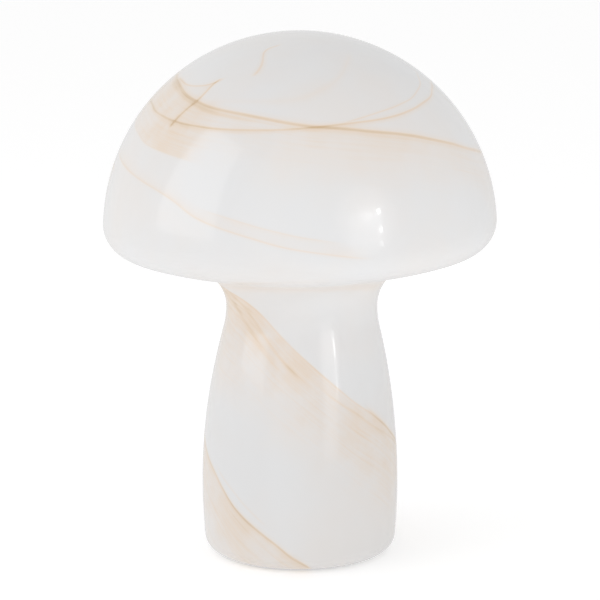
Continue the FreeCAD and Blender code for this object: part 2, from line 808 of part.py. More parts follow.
def make_centre_contact():
    """Fold the brass tongue that stands in the well under the bulb's tip."""
    body = new_body("centre_contact")
    side = new_sketch(body, "side")
    t = s.contact_strip
    reach = s.block_well - s.part_gap - 1
    high = BLOCK_TOP + s.part_gap * 3
    draw_outline(side, [
        (0 - reach, WELL_FLOOR), (reach, WELL_FLOOR), (reach, high), (0 - s.tongue_end, high),
        (0 - s.tongue_end, high - t), (reach - t, high - t), (reach - t, WELL_FLOOR + t),
        (0 - reach, WELL_FLOOR + t),
    ])
    pad(body, side, s.contact_width, midplane=True)
    return body


def make_neutral_contact():
    """Stand the flat contact that touches the shell's side in its slot."""
    strip = doc.addObject("Part::Box", "neutral_contact")
    strip.Label = "neutral_contact"
    low = BLOCK_TOP - s.terminal_depth
    sizes = {
        "Length": s.contact_strip,
        "Width": s.contact_width,
        "Height": s.terminal_depth + s.neutral_rise,
        "Placement.Base.x": 0 - NEUTRAL_X - s.contact_strip,
        "Placement.Base.y": 0 - s.contact_width / 2,
        "Placement.Base.z": low,
    }
    for name, size in sizes.items():
        strip.setExpression(name, size.text)
    return strip


def make_terminal_screws():
    """Cut the two slotted terminal screws under the contact block."""
    body = new_body("terminal_screws")
    low = COLLAR_TOP - s.terminal_head_height
    features = []
    for name, radius, level, height in (
        ("head", s.terminal_head, low, s.terminal_head_height),
        ("shank", s.terminal_radius, COLLAR_TOP, s.terminal_depth),
    ):
        sketch = new_sketch(body, name, "XY_Plane", level)
        draw_circle(sketch, 0, s.terminal_offset, radius)
        features.append(pad(body, sketch, height))
    slot = new_sketch(body, "slot", "XY_Plane", low)
    half = s.terminal_slot / 2
    near = s.terminal_offset - s.terminal_head - 1
    far = s.terminal_offset + s.terminal_head + 1
    draw_outline(slot, [(0 - half, near), (half, near), (half, far), (0 - half, far)])
    cut = body.newObject("PartDesign::Pocket", "terminal_slot_pocket")
    cut.Profile = slot
    cut.Reversed = True
    cut.Length = s.terminal_slot.value
    cut.setExpression("Length", s.terminal_slot.text)
    features.append(cut)
    doc.recompute()
    repeat_round(body, features, as_size(2))
    return body


# ---------------------------------------------------------------- bulb

TIP_LOW = BLOCK_TOP + s.part_gap * 3 + s.bulb_gap
TIP_TOP = TIP_LOW + s.tip_height
CONE_TOP = TIP_TOP + s.insulator_rise
CAP_BORE = s.screw_minor - s.cap_skin
HOUSING_LOW = SLEEVE_TOP + s.bulb_gap
SEAT_LEVEL = HOUSING_LOW + s.housing_height


def make_bulb_screw_cap():
    """Roll the bulb's threaded cap, whose rings lie in those of the holder's shell."""
    rings = thread_corners(s.screw_minor, s.screw_major, THREAD_LOW, THREAD_FLAT)
    return turned_body("bulb_screw_cap", [
        (CAP_BORE, CONE_TOP), (s.screw_minor, CONE_TOP),
        *rings, (s.screw_major, THREAD_TOP + s.cap_skin), (s.screw_major, SLEEVE_TOP),
        (CAP_BORE, SLEEVE_TOP),
    ])


def make_bulb_insulator():
    """Mould the black glass cone between the bulb's tip and its cap."""
    bore = s.tip_stem + s.part_gap
    rim = CAP_BORE - s.part_gap
    return turned_body("bulb_insulator", [
        (bore, TIP_TOP), (s.insulator_radius, TIP_TOP), (rim, CONE_TOP),
        (rim, CONE_TOP + s.insulator_band), (bore, CONE_TOP + s.insulator_band),
    ])


def make_bulb_tip():
    """Set the eyelet at the end of the bulb."""
    return turned_body("bulb_tip_contact", [
        (0, TIP_LOW), (s.tip_radius, TIP_LOW), (s.tip_radius, TIP_TOP), (s.tip_stem, TIP_TOP),
        (s.tip_stem, CONE_TOP), (0, CONE_TOP),
    ])


def make_bulb_housing():
    """Mould the white cone that joins the cap to the bulb's dome, with a ledge for the board."""
    neck = CAP_BORE - s.part_gap
    wall = s.housing_wall
    low = HOUSING_LOW - s.housing_depth
    waist = (s.housing_shoulder + s.seat_radius) / 2
    waist_level = HOUSING_LOW + s.housing_height / 2
    mouth = s.seat_radius - wall
    ledge = SEAT_LEVEL - s.board_thickness - s.part_gap
    return turned_body("bulb_housing", [
        (neck - wall, low), (neck, low), (neck, HOUSING_LOW), (s.housing_shoulder, HOUSING_LOW),
        (waist, waist_level), (s.seat_radius, SEAT_LEVEL), (mouth, SEAT_LEVEL), (mouth, ledge),
        (mouth - s.board_ledge, ledge), (waist - s.board_ledge - wall, waist_level),
        (neck - wall, HOUSING_LOW + wall),
    ])


def draw_dome(sketch, skin):
    """Draw half of the bulb's dome: a round top that runs smoothly down to its seat."""
    radius = s.bulb_radius - skin
    middle = s.bulb_top - s.bulb_radius
    seat = SEAT_LEVEL + (s.part_gap if skin.value == 0 else 0)
    rim = s.seat_radius - skin
    across, down = rim.value, middle.value - seat.value
    reach = math.hypot(across, down)
    lean = math.acos(radius.value / reach) - math.atan2(down, across)
    touch = FreeCAD.Vector(radius.value * math.cos(lean), middle.value + radius.value * math.sin(lean), 0)
    circle = Part.Circle(FreeCAD.Vector(0, middle.value, 0), FreeCAD.Vector(0, 0, 1), radius.value)
    arc = sketch.addGeometry(Part.ArcOfCircle(circle, lean, math.pi / 2), False)
    corners = [touch, FreeCAD.Vector(across, seat.value, 0), FreeCAD.Vector(0, seat.value, 0),
               FreeCAD.Vector(0, middle.value + radius.value, 0)]
    lines = []
    for start, end in zip(corners, corners[1:]):
        lines.append(sketch.addGeometry(Part.LineSegment(start, end), False))
    sketch.addConstraint(Sketcher.Constraint("Tangent", arc, 1, lines[0], 1))
    sketch.addConstraint(Sketcher.Constraint("Coincident", lines[0], 2, lines[1], 1))
    sketch.addConstraint(Sketcher.Constraint("Coincident", lines[1], 2, lines[2], 1))
    sketch.addConstraint(Sketcher.Constraint("Coincident", lines[2], 2, arc, 2))
    sketch.addConstraint(Sketcher.Constraint("Vertical", lines[2]))
    pin_point(sketch, arc, 3, 0, middle)
    bind_constraint(sketch, "Radius", arc, size=radius)
    pin_point(sketch, lines[0], 2, rim, seat)
    pin_point(sketch, lines[1], 2, 0, seat)


def make_bulb_dome():
    """Blow the bulb's opal dome, open where it meets the housing."""
    body = new_body("bulb_dome")
    outer = new_sketch(body, "outer")
    draw_dome(outer, as_size(0))
    turn(body, outer)
    hollow = new_sketch(body, "hollow")
    draw_dome(hollow, s.bulb_wall)
    turn(body, hollow, "Groove")
    return body


BOARD_LOW = SEAT_LEVEL - s.board_thickness
BOARD_RADIUS = s.seat_radius - s.housing_wall - s.part_gap


def make_led_board():
    """Cut the round board that carries the light sources."""
    return turned_body("led_board", [
        (0, BOARD_LOW), (BOARD_RADIUS, BOARD_LOW), (BOARD_RADIUS, SEAT_LEVEL), (0, SEAT_LEVEL),
    ])


def make_led_chips():
    """Set the light sources in a ring on the board."""
    body = new_body("led_chips")
    sketch = new_sketch(body, "chip", "XY_Plane", SEAT_LEVEL)
    half = s.chip_side / 2
    near = s.chip_circle - half
    far = s.chip_circle + half
    draw_outline(sketch, [(near, 0 - half), (far, 0 - half), (far, half), (near, half)])
    chip = pad(body, sketch, s.chip_height)
    repeat_round(body, [chip], s.chip_count)
    return body


def make_led_driver():
    """Stand the driver board in the housing, with its capacitor."""
    body = new_body("led_driver")
    low = HOUSING_LOW - s.housing_depth
    board = new_sketch(body, "board", "XY_Plane", low)
    half = s.driver_half_width
    thin = s.driver_thickness / 2
    draw_outline(board, [(0 - half, 0 - thin), (half, 0 - thin), (half, thin), (0 - half, thin)])
    pad(body, board, BOARD_LOW - low)
    can = new_sketch(body, "capacitor", "XY_Plane", s.capacitor_level)
    draw_circle(can, 0, s.capacitor_radius, s.capacitor_radius)
    pad(body, can, s.capacitor_height)
    return body


MAKERS = [
    make_glass, make_base_plate, make_gasket, make_feet, make_cover, make_grommet, make_clips,
    make_rivets, make_nipple, make_nut, make_washer, make_holder_cap, make_holder_sleeve,
    make_contact_block, make_screw_shell, make_centre_contact, make_neutral_contact,
    make_terminal_screws, make_bulb_screw_cap, make_bulb_insulator, make_bulb_tip,
    make_bulb_housing, make_bulb_dome, make_led_board, make_led_chips, make_led_driver,
]


def main():
    """Make every piece, check the document, and write one file for each piece."""
    pieces = [make() for make in MAKERS]
    doc.recompute()
    for item in doc.Objects:
        if {"Invalid", "Error"} & set(item.State):
            raise RuntimeError("%s failed: %s" % (item.Name, item.State))
    os.makedirs("parts", exist_ok=True)
    for piece in pieces:
        shape = piece.Shape
        if shape.isNull() or not shape.isValid() or not shape.Solids:
            raise RuntimeError("%s has no valid solid" % piece.Label)
        shape.exportStep("parts/%s.step" % piece.Label)
        print("%-20s solids %d  volume %.2f" % (piece.Label, len(shape.Solids), shape.Volume))


main()
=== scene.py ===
"""The looks of a mushroom table lamp: blown opal glass over a steel base, lamp holder and bulb."""

import logging
import math
from dataclasses import dataclass
from enum import Enum
from functools import lru_cache
from typing import Any, Callable, Optional, Sequence, Union

import bpy
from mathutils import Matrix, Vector

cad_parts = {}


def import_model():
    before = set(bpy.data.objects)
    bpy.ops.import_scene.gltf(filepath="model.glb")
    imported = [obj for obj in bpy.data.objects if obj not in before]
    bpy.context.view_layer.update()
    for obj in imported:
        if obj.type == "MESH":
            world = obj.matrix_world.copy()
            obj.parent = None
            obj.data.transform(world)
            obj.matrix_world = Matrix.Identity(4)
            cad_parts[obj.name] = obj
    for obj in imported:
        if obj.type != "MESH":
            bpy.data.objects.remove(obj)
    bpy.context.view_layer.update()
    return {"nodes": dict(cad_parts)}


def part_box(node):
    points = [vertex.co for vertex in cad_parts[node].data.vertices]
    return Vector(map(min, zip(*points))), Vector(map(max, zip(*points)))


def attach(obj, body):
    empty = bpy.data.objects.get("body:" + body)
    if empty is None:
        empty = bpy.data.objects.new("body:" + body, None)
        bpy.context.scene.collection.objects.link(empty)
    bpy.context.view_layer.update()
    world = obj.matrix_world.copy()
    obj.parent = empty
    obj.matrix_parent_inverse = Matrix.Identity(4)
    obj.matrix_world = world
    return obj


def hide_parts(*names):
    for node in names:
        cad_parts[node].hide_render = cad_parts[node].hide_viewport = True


logging.basicConfig(level=logging.INFO, format="%(message)s")
log = logging.getLogger("lamp")

MM = 0.001
TURN = 2 * math.pi
ON_AXIS = 1e-4
CORNER_SHARE = 0.45
GLASS_RUN = "glass_run"
Point = tuple[float, float]
Colour = tuple[float, float, float]


def grey(level: float) -> Colour:
    """Return a neutral colour."""
    return (level, level, level)


# ---------------------------------------------------------------- shader language


@dataclass(eq=False)
class Socket:
    """A node's output that can be used in arithmetic."""

    tree: "NodeTree"
    link: Any

    def math(self, operation: str, *others: "Feed", first: Optional["Feed"] = None) -> "Socket":
        """Run one Math node on this value.

        Args:
            operation: The Math node's operation.
            others: The values that follow this one.
            first: A value that goes before this one.

        Returns:
            The node's result.
        """
        feeds: list[Feed] = [self, *others] if first is None else [first, self]
        return self.tree.node("ShaderNodeMath", {"operation": operation}, dict(enumerate(feeds)))

    def __add__(self, other: "Feed") -> "Socket":
        """Add."""
        return self.math("ADD", other)

    def __sub__(self, other: "Feed") -> "Socket":
        """Subtract."""
        return self.math("SUBTRACT", other)

    def __rsub__(self, other: "Feed") -> "Socket":
        """Subtract this from another value."""
        return self.math("SUBTRACT", first=other)

    def __mul__(self, other: "Feed") -> "Socket":
        """Multiply."""
        return self.math("MULTIPLY", other)

    def __truediv__(self, other: "Feed") -> "Socket":
        """Divide."""
        return self.math("DIVIDE", other)

    def __abs__(self) -> "Socket":
        """Return the size without its sign."""
        return self.math("ABSOLUTE")

    __radd__ = __add__
    __rmul__ = __mul__

    def wrapped(self, start: float, span: float) -> "Socket":
        """Bring the value into one span that begins at start."""
        return (self - start).math("FLOORED_MODULO", span) + start

    def ramp(self, low: float, high: float, to_low: float = 0.0, to_high: float = 1.0) -> "Socket":
        """Ease from one level to another between two values.

        Args:
            low: The value where the first level ends.
            high: The value where the second level starts.
            to_low: The first level.
            to_high: The second level.

        Returns:
            The eased level.
        """
        feeds = {"Value": self, "From Min": low, "From Max": high, "To Min": to_low, "To Max": to_high}
        return self.tree.node("ShaderNodeMapRange", {"interpolation_type": "SMOOTHSTEP"}, feeds)

    def clipped(self) -> "Socket":
        """Keep the value from 0 to 1."""
        return self.tree.node("ShaderNodeClamp", {}, {"Value": self})


Feed = Union[Socket, float, int, tuple]


class NodeTree:
    """A node tree that is being put together."""

    def __init__(self, tree: Any) -> None:
        """Start on an empty tree."""
        self.nodes = tree.nodes
        self.links = tree.links
        self.nodes.clear()

    def node(self, kind: str, settings: dict[str, Any], feeds: dict[Any, Feed], output: Any = 0) -> Socket:
        """Add one node.

        Args:
            kind: The node's type.
            settings: Its settings, made before its sockets are fed.
            feeds: The value or the link of each socket, by name or number.
            output: The output to return, by name or number.

        Returns:
            The chosen output.
        """
        node = self.nodes.new(kind)
        for name, value in settings.items():
            if name == "curve":
                self._shape(node, value)
            elif name == "stops":
                self._stain(node, value)
            else:
                setattr(node, name, value)
        for key, value in feeds.items():
            self.feed(node.inputs[key], value)
        return Socket(self, node.outputs[output])

    @staticmethod
    def _shape(node: Any, points: Sequence[Point]) -> None:
        """Give a curve node its points.

        Args:
            node: The node, which has two points already.
            points: How far across and up each point is, from 0 to 1.
        """
        curve = node.mapping.curves[0]
        for _ in points[2:]:
            curve.points.new(0.5, 0.5)
        for slot, point in zip(curve.points, points):
            slot.location = point
            slot.handle_type = "AUTO"
        node.mapping.update()

    @staticmethod
    def _stain(node: Any, stops: Sequence[tuple[float, Colour]]) -> None:
        """Give a colour ramp its stops.

        Args:
            node: The node, which has two stops already.
            stops: The place and the colour of each stop.
        """
        elements = node.color_ramp.elements
        for _ in stops[2:]:
            elements.new(0.5)
        for element, (position, colour) in zip(elements, stops):
            element.position = position
            element.color = (*colour, 1.0)

    def feed(self, target: Any, value: Feed) -> None:
        """Link a value to a socket, or set the socket's own value.

        Args:
            target: The socket.
            value: Another node's output, a number, a colour or a place.
        """
        if isinstance(value, Socket):
            self.links.new(value.link, target)
        elif target.type == "RGBA":
            target.default_value = (*value, 1.0)
        else:
            target.default_value = value

    def join(self, x: Feed, y: Feed, z: Feed) -> Socket:
        """Join three distances into a place."""
        return self.node("ShaderNodeCombineXYZ", {}, {0: x, 1: y, 2: z})


class Recipe(NodeTree):
    """One material being put together from nodes."""

    def __init__(self, name: str) -> None:
        """Start an empty material with one principled shader.

        Args:
            name: The material's name.
        """
        self.material = bpy.data.materials.new(name)
        self.material.use_nodes = True
        super().__init__(self.material.node_tree)
        output = self.nodes.new("ShaderNodeOutputMaterial")
        self.surface = self.nodes.new("ShaderNodeBsdfPrincipled")
        self.links.new(self.surface.outputs[0], output.inputs[0])

    def place(self) -> Socket:
        """Return the place on the object, in metres."""
        return self.node("ShaderNodeTexCoord", {}, {}, "Object")

    def axes(self, place: Socket) -> tuple[Socket, ...]:
        """Split a place into its three distances."""
        split = self.node("ShaderNodeSeparateXYZ", {}, {0: place})
        return tuple(Socket(self, output) for output in split.link.node.outputs)

    def noise(self, place: Socket, scale: float, detail: float = 3.0, rough: float = 0.5) -> Socket:
        """Return a cloudy value from 0 to 1."""
        feeds = {"Vector": place, "Scale": scale, "Detail": detail, "Roughness": rough}
        return self.node("ShaderNodeTexNoise", {}, feeds)

    def blend(self, amount: Feed, first: Feed, second: Feed) -> Socket:
        """Mix two colours."""
        return self.node("ShaderNodeMix", {"data_type": "RGBA"}, {0: amount, 6: first, 7: second}, 2)

    def bump(self, height: Socket, distance: float) -> None:
        """Raise the surface by a height in metres at most."""
        normal = self.node("ShaderNodeBump", {}, {"Height": height, "Distance": distance, "Strength": 1.0})
        self.feed(self.surface.inputs["Normal"], normal)

    def set(self, **feeds: Feed) -> None:
        """Feed the surface's sockets, named with underscores for spaces."""
        for name, value in feeds.items():
            self.feed(self.surface.inputs[name.replace("_", " ")], value)


# ---------------------------------------------------------------- finishes


class Grain(Enum):
    """Which way a metal's fine marks run."""

    TURNED = "round the axis"
    ROLLED = "along one side"
    CAST = "no way at all"


@dataclass(frozen=True)
class Metal:
    """Bare or plated metal with fine tool marks and dulled patches."""

    name: str
    colour: Colour
    roughness: float
    grain: Grain = Grain.CAST
    mark: float = 0.02 * MM
    patch: float = 0.12
    patch_scale: float = 60.0
    patch_dulls: float = 0.16
    mark_dulls: float = 0.08
    turned_stretch: float = 40.0
    turned_scale: float = 60.0
    rolled_stretch: Point = (2.0, 60.0)
    rolled_scale: float = 40.0
    cast_scale: float = 1500.0

    def material(self) -> Any:
        """Return the finished material."""
        recipe = Recipe(self.name)
        place = recipe.place()
        x, y, z = recipe.axes(place)
        if self.grain is Grain.TURNED:
            reach = (x * x + y * y).math("SQRT")
            rings = recipe.join(reach * self.turned_stretch, z * self.turned_stretch, 0.0)
            lines = recipe.noise(rings, self.turned_scale, 2.0)
        elif self.grain is Grain.ROLLED:
            along, across = self.rolled_stretch
            lines = recipe.noise(recipe.join(x * along, y * across, z * across), self.rolled_scale, 2.0)
        else:
            lines = recipe.noise(place, self.cast_scale, 2.0)
        patches = recipe.noise(place, self.patch_scale, 4.0, 0.6)
        dark = tuple(c * (1 - self.patch) for c in self.colour)
        least = self.roughness - (self.patch_dulls + self.mark_dulls) / 2
        recipe.set(
            Base_Color=recipe.blend(patches.ramp(0.35, 0.7), self.colour, dark),
            Roughness=(patches * self.patch_dulls + lines * self.mark_dulls + least).clipped(),
            Metallic=1.0,
        )
        recipe.bump(lines, self.mark)
        return recipe.material


@dataclass(frozen=True)
class Moulded:
    """Plastic, rubber or ceramic, with the fine skin that its mould leaves."""

    name: str
    colour: Colour
    roughness: float
    skin: float = 0.01 * MM
    skin_scale: float = 1800.0
    tint: float = 0.05
    cloud_scale: float = 45.0
    cloud_dulls: float = 0.1
    coat: float = 0.0
    coat_roughness: float = 0.08
    glow: float = 0.0
    glow_depth: float = 4 * MM

    def material(self) -> Any:
        """Return the finished material."""
        recipe = Recipe(self.name)
        place = recipe.place()
        skin = recipe.noise(place, self.skin_scale, 2.0)
        clouds = recipe.noise(place, self.cloud_scale, 3.0)
        dark = tuple(c * (1 - self.tint) for c in self.colour)
        recipe.set(
            Base_Color=recipe.blend(clouds.ramp(0.3, 0.75), self.colour, dark),
            Roughness=(clouds * self.cloud_dulls + (self.roughness - self.cloud_dulls / 2)).clipped(),
            Coat_Weight=self.coat,
            Coat_Roughness=self.coat_roughness,
        )
        if self.glow:
            recipe.set(Subsurface_Weight=self.glow, Subsurface_Scale=self.glow_depth)
        recipe.bump(skin, self.skin)
        return recipe.material


class Run(Enum):
    """Which way a swirl line runs on the glass."""

    ROUND = "round the axis"
    DOWN = "down the outline"


@dataclass(frozen=True)
class Swirl:
    """One caramel line laid in the glass, with the veil that trails on one side of it.

    A point is its angle in degrees from the front and its distance in millimetres from the crown
    along the outline. A positive veil hangs towards the foot. The line lies about a radius from
    the axis.
    """

    points: tuple[Point, ...]
    width: float
    strength: float
    veil: float = 0.0
    veil_strength: float = 0.0
    fade: float = 12.0
    run: Run = Run.ROUND
    radius: float = 95.0
    seed: float = 0.0
    margin: float = 8.0
    wobble: float = 1.2
    thread_scale: Point = (0.02, 0.55)
    core: float = 0.1
    flank_reach: float = 3.0
    flank_share: float = 0.5
    veil_edge: float = 0.8
    veil_dense: float = 0.08
    streak_share: float = 0.2

    def stain(self, recipe: Recipe, angle: Socket, run: Socket, wander: Socket, blotches: Socket) -> Socket:
        """Return how thick the line and its veil lie at each place.

        Args:
            recipe: The glass's recipe.
            angle: The angle round the axis, in degrees.
            run: The distance along the outline, in millimetres.
            wander: A cloudy value round zero that unsettles the line.
            blotches: A cloudy value that thins and gathers the veil.

        Returns:
            The thickness, where 1 stains the glass fully.
        """
        degree = self.radius * TURN / 360
        if self.run is Run.ROUND:
            points = self.points
            along = angle.wrapped(points[0][0] - self.margin, 360.0)
            across, step, unit = run, degree, 1.0
        else:
            points = tuple(point[::-1] for point in self.points)
            along, across, step, unit = run, angle, 1.0, degree
        starts, ends = points[0][0], points[-1][0]
        low, high = min(p[1] for p in points), max(p[1] for p in points)
        shape = [((a - starts) / (ends - starts), (b - low) / (high - low)) for a, b in points]
        share = (along - starts) / (ends - starts)
        centre = recipe.node("ShaderNodeFloatCurve", {"curve": shape}, {"Value": share.clipped()})
        rise = (high - low) * unit
        lean = 1 / math.hypot(1.0, rise / ((ends - starts) * step))
        away = (across - (centre * (high - low) + low)) * (unit * lean)
        offset = away + wander * (self.width * self.wobble)
        inside = along.ramp(starts, starts + self.fade) * along.ramp(ends - self.fade, ends, 1.0, 0.0)
        along_scale, across_scale = self.thread_scale
        thread = recipe.join(along * along_scale, offset * across_scale, self.seed)
        threads = recipe.noise(thread, 1.0, 4.0, 0.6)
        sharp = abs(offset).ramp(self.core * self.width, self.width, 1.0, 0.0)
        flank = abs(offset).ramp(0.0, self.flank_reach * self.width, self.flank_share, 0.0)
        amber = (sharp + flank) * threads.ramp(0.15, 0.65, 0.55, 1.0) * self.strength
        if self.veil:
            reach, edge = abs(self.veil), self.veil_edge
            depth = offset * math.copysign(1.0, self.veil)
            trail = depth.ramp(-edge, edge) * depth.ramp(self.veil_dense * reach, reach, 1.0, 0.0)
            streaks = threads.ramp(0.2, 0.8, 0.6, 1.1) + threads.ramp(0.55, 0.72) * self.streak_share
            amber = amber + trail * streaks * blotches * self.veil_strength
        return amber * inside


@dataclass(frozen=True)
class OpalGlass:
    """Opal glass, white with thin caramel swirls that stain it more the thicker they lie.

    Its colour is painted darker down the stem towards the foot, as painted shade, between two levels in
    metres, and the underside of the cap is satin, between runs in millimetres along the outline.
    """

    name: str = "opal_glass"
    stops: tuple[tuple[float, Colour], ...] = (
        (0.0, (0.80, 0.80, 0.805)),
        (0.2, (0.82, 0.77, 0.73)),
        (0.5, (0.82, 0.69, 0.57)),
        (0.75, (0.75, 0.60, 0.44)),
        (1.0, (0.65, 0.47, 0.30)),
    )
    # painted shade down the stem: the grey it is blended with, its share at the foot, and the levels in
    # metres
    stem_shade: Colour = (0.5, 0.5, 0.5)
    stem_shade_share: float = 0.2
    stem_shade_levels: Point = (0.05, 0.165)
    roughness: float = 0.16
    satin: float = 0.1
    satin_runs: tuple[float, float, float, float] = (150.0, 185.0, 240.0, 262.0)
    gloss: float = 0.58
    least_gloss: float = 0.03
    coat_roughness: float = 0.03
    bend: float = 1.5
    haze: float = 0.12
    haze_scale: float = 13.0
    blotch_scale: float = 38.0
    wander_scale: float = 24.0
    swirls: tuple[Swirl, ...] = ()

    def material(self) -> Any:
        """Return the finished material."""
        recipe = Recipe(self.name)
        place = recipe.place()
        x, y, z = recipe.axes(place)
        angle = x.math("ARCTAN2", y * -1.0) * (360 / TURN)
        run = recipe.node("ShaderNodeAttribute", {"attribute_name": GLASS_RUN}, {}, "Fac") / MM
        wander = recipe.noise(place, self.wander_scale, 2.0) - 0.5
        blotches = recipe.noise(place, self.blotch_scale, 3.0, 0.6).ramp(0.3, 0.68, 0.55, 1.15)
        amber: Feed = recipe.noise(place, self.haze_scale, 3.0, 0.55).ramp(0.36, 0.72) * self.haze
        for swirl in self.swirls:
            amber = swirl.stain(recipe, angle, run, wander, blotches) + amber
        start, whole, fading, end = self.satin_runs
        under = run.ramp(start, whole) * run.ramp(fading, end, 1.0, 0.0)
        stained = recipe.node("ShaderNodeValToRGB", {"stops": self.stops}, {"Fac": amber})
        recipe.set(
            # painted shade: the colour is blended towards grey down the stem, most at the foot
            Base_Color=recipe.blend(z.ramp(*self.stem_shade_levels, self.stem_shade_share, 0.0), stained, self.stem_shade),
            Roughness=under * self.satin + self.roughness,
            IOR=self.bend,
            Coat_Weight=(1.0 - under) * self.gloss + self.least_gloss,
            Coat_Roughness=self.coat_roughness,
            Coat_IOR=self.bend,
        )
        return recipe.material


Finish = Union[Metal, Moulded, OpalGlass]


@lru_cache(maxsize=None)
def finished(finish: Finish) -> Any:
    """Return the one material that all pieces of a finish share."""
    return finish.material()


def paint(mesh: Any, finish: Finish) -> None:
    """Give a mesh one finish all over."""
    mesh.materials.clear()
    mesh.materials.append(finished(finish))


# ---------------------------------------------------------------- meshes and copies


Shift = Callable[[float, float, float], Vector]


def linked(name: str, vertices: Sequence[Sequence[float]], faces: Sequence[Sequence[int]]) -> Any:
    """Make a mesh object in the scene, at the origin.

    Args:
        name: The name of the object and its mesh.
        vertices: The places of its points, in metres.
        faces: The points of each face.

    Returns:
        The object.
    """
    mesh = bpy.data.meshes.new(name)
    mesh.from_pydata(vertices, [], faces)
    made = bpy.data.objects.new(name, mesh)
    bpy.context.scene.collection.objects.link(made)
    return made


def sides(outline: Sequence[Point]) -> list[tuple[Point, Point]]:
    """Return the two ends of each side of a closed outline."""
    return list(zip(outline, [*outline[1:], outline[0]]))


def lathe(
    name: str,
    outline: Sequence[Point],
    steps: int = 96,
    shift: Optional[Shift] = None,
    crisp: float = 180.0,
    runs: Sequence[float] = (),
) -> Any:
    """Turn an outline round Z into a closed mesh object.

    Args:
        name: The new object's name.
        outline: Radius and height of each point in millimetres, from the axis back to the
            axis, or round a closed ring that is open in the middle.
        steps: How many steps go round the axis.
        shift: Moves a place, given in metres, by a small vector.
        crisp: The angle in degrees from which an edge stays sharp.
        runs: A number for each point, kept on the mesh as an attribute.

    Returns:
        The object, linked to the scene.
    """
    if sum(r1 * z2 - r2 * z1 for (r1, z1), (r2, z2) in sides(outline)) > 0:
        outline = outline[::-1]
    vertices: list[tuple[float, ...]] = []
    rings: list[range] = []
    for radius, height in outline:
        count = steps if radius > ON_AXIS else 1
        rings.append(range(len(vertices), len(vertices) + count))
        for step in range(count):
            turn = TURN * step / steps
            place = Vector((radius * math.cos(turn), radius * math.sin(turn), height)) * MM
            vertices.append(tuple(place + shift(*place) if shift else place))
    pairs = list(zip(rings, rings[1:]))
    if len(rings[0]) > 1:
        pairs.append((rings[-1], rings[0]))
    faces = []
    for upper, lower in pairs:
        for step in range(steps):
            onward = (step + 1) % steps
            face = [upper[step % len(upper)], lower[step % len(lower)]]
            face += [ring[onward] for ring in (lower, upper) if len(ring) > 1]
            if len(face) > 2:
                faces.append(face)
    made = linked(name, vertices, faces)
    if runs:
        attribute = made.data.attributes.new(GLASS_RUN, "FLOAT", "POINT")
        attribute.data.foreach_set("value", [run for run, ring in zip(runs, rings) for _ in ring])
    made.data.shade_smooth()
    made.data.set_sharp_from_angle(angle=math.radians(crisp))
    return made


def softened(corners: Sequence[Point], radius: float, steps: int = 3) -> list[Point]:
    """Round the corners of an outline.

    Args:
        corners: The outline, closed unless it starts and ends on the axis.
        radius: How far from a corner its rounding starts, at most.
        steps: How many steps each rounding takes.

    Returns:
        The outline with its corners rounded.
    """
    open_ended = corners[0][0] < ON_AXIS
    count = len(corners)
    points: list[Point] = []
    for number, corner in enumerate(corners):
        if open_ended and number in (0, count - 1):
            points.append(corner)
            continue
        others = corners[number - 1], corners[(number + 1) % count]
        ways = [Vector(other) - Vector(corner) for other in others]
        start, end = (way * (min(radius, way.length * CORNER_SHARE) / way.length) for way in ways)
        for step in range(steps + 1):
            share = step / steps
            bend = Vector(corner) + start * (1 - share) ** 2 + end * share**2
            points.append((bend.x, bend.y))
    return points


def band(inner: float, outer: float, low: float, high: float) -> list[Point]:
    """Return a plain four-cornered section."""
    return [(inner, low), (outer, low), (outer, high), (inner, high)]


def divided(points: Sequence[Point], low: float, high: float, step: float) -> list[Point]:
    """Cut the upright runs of a closed outline into short steps.

    Args:
        points: The outline.
        low: The level where the cutting starts.
        high: The level where it ends.
        step: The greatest rise of a step.

    Returns:
        The outline with the points added.
    """
    done: list[Point] = []
    for start, end in sides(points):
        done.append(start)
        rise = end[1] - start[1]
        inside = min(start[1], end[1]) < high and max(start[1], end[1]) > low
        count = math.ceil(abs(rise) / step) if inside and abs(rise) > step else 1
        for number in range(1, count):
            share = number / count
            done.append((start[0] + (end[0] - start[0]) * share, start[1] + rise * share))
    return done


def radial(push: Callable[[float, float, float], float], beyond: float) -> Shift:
    """Return a shift that moves places away from the axis.

    Args:
        push: Gives the move in millimetres from the angle, the radius and the height.
        beyond: The radius in millimetres inside which nothing moves.

    Returns:
        The shift.
    """
    def shift(x: float, y: float, z: float) -> Vector:
        """Move one place.

        Args:
            x: Its distance along X, in metres.
            y: Its distance along Y, in metres.
            z: Its height, in metres.

        Returns:
            The move.
        """
        reach = math.hypot(x, y) / MM
        if reach < beyond:
            return Vector()
        share = push(math.atan2(y, x), reach, z / MM) / reach
        return Vector((x * share, y * share, 0.0))

    return shift


@dataclass(frozen=True)
class Thread:
    """A helical thread rolled into a wall between two levels, in millimetres."""

    pitch: float
    depth: float
    low: float
    high: float

    def push(self, angle: float, _: float, level: float) -> float:
        """Return how far one place is rolled in."""
        ends = (level - self.low) / self.pitch * 2, (self.high - level) / self.pitch * 2
        runout = max(0.0, min(1.0, *ends))
        return -self.depth * runout * (0.5 - 0.5 * math.cos(TURN * level / self.pitch - angle))


def prism(name: str, outline: Sequence[Point], start: float, end: float) -> Any:
    """Draw an outline out along Y into a closed mesh object.

    Args:
        name: The new object's name.
        outline: X and Z of each point in millimetres, anticlockwise as seen from the front.
        start: Where it starts on Y.
        end: Where it ends, further back.

    Returns:
        The object.
    """
    vertices = [(x * MM, y * MM, z * MM) for y in (start, end) for x, z in outline]
    count = len(outline)
    faces = [tuple(range(count)), tuple(range(2 * count - 1, count - 1, -1))]
    for index in range(count):
        after = (index + 1) % count
        faces.append((index, index + count, after + count, after))
    return linked(name, vertices, faces)


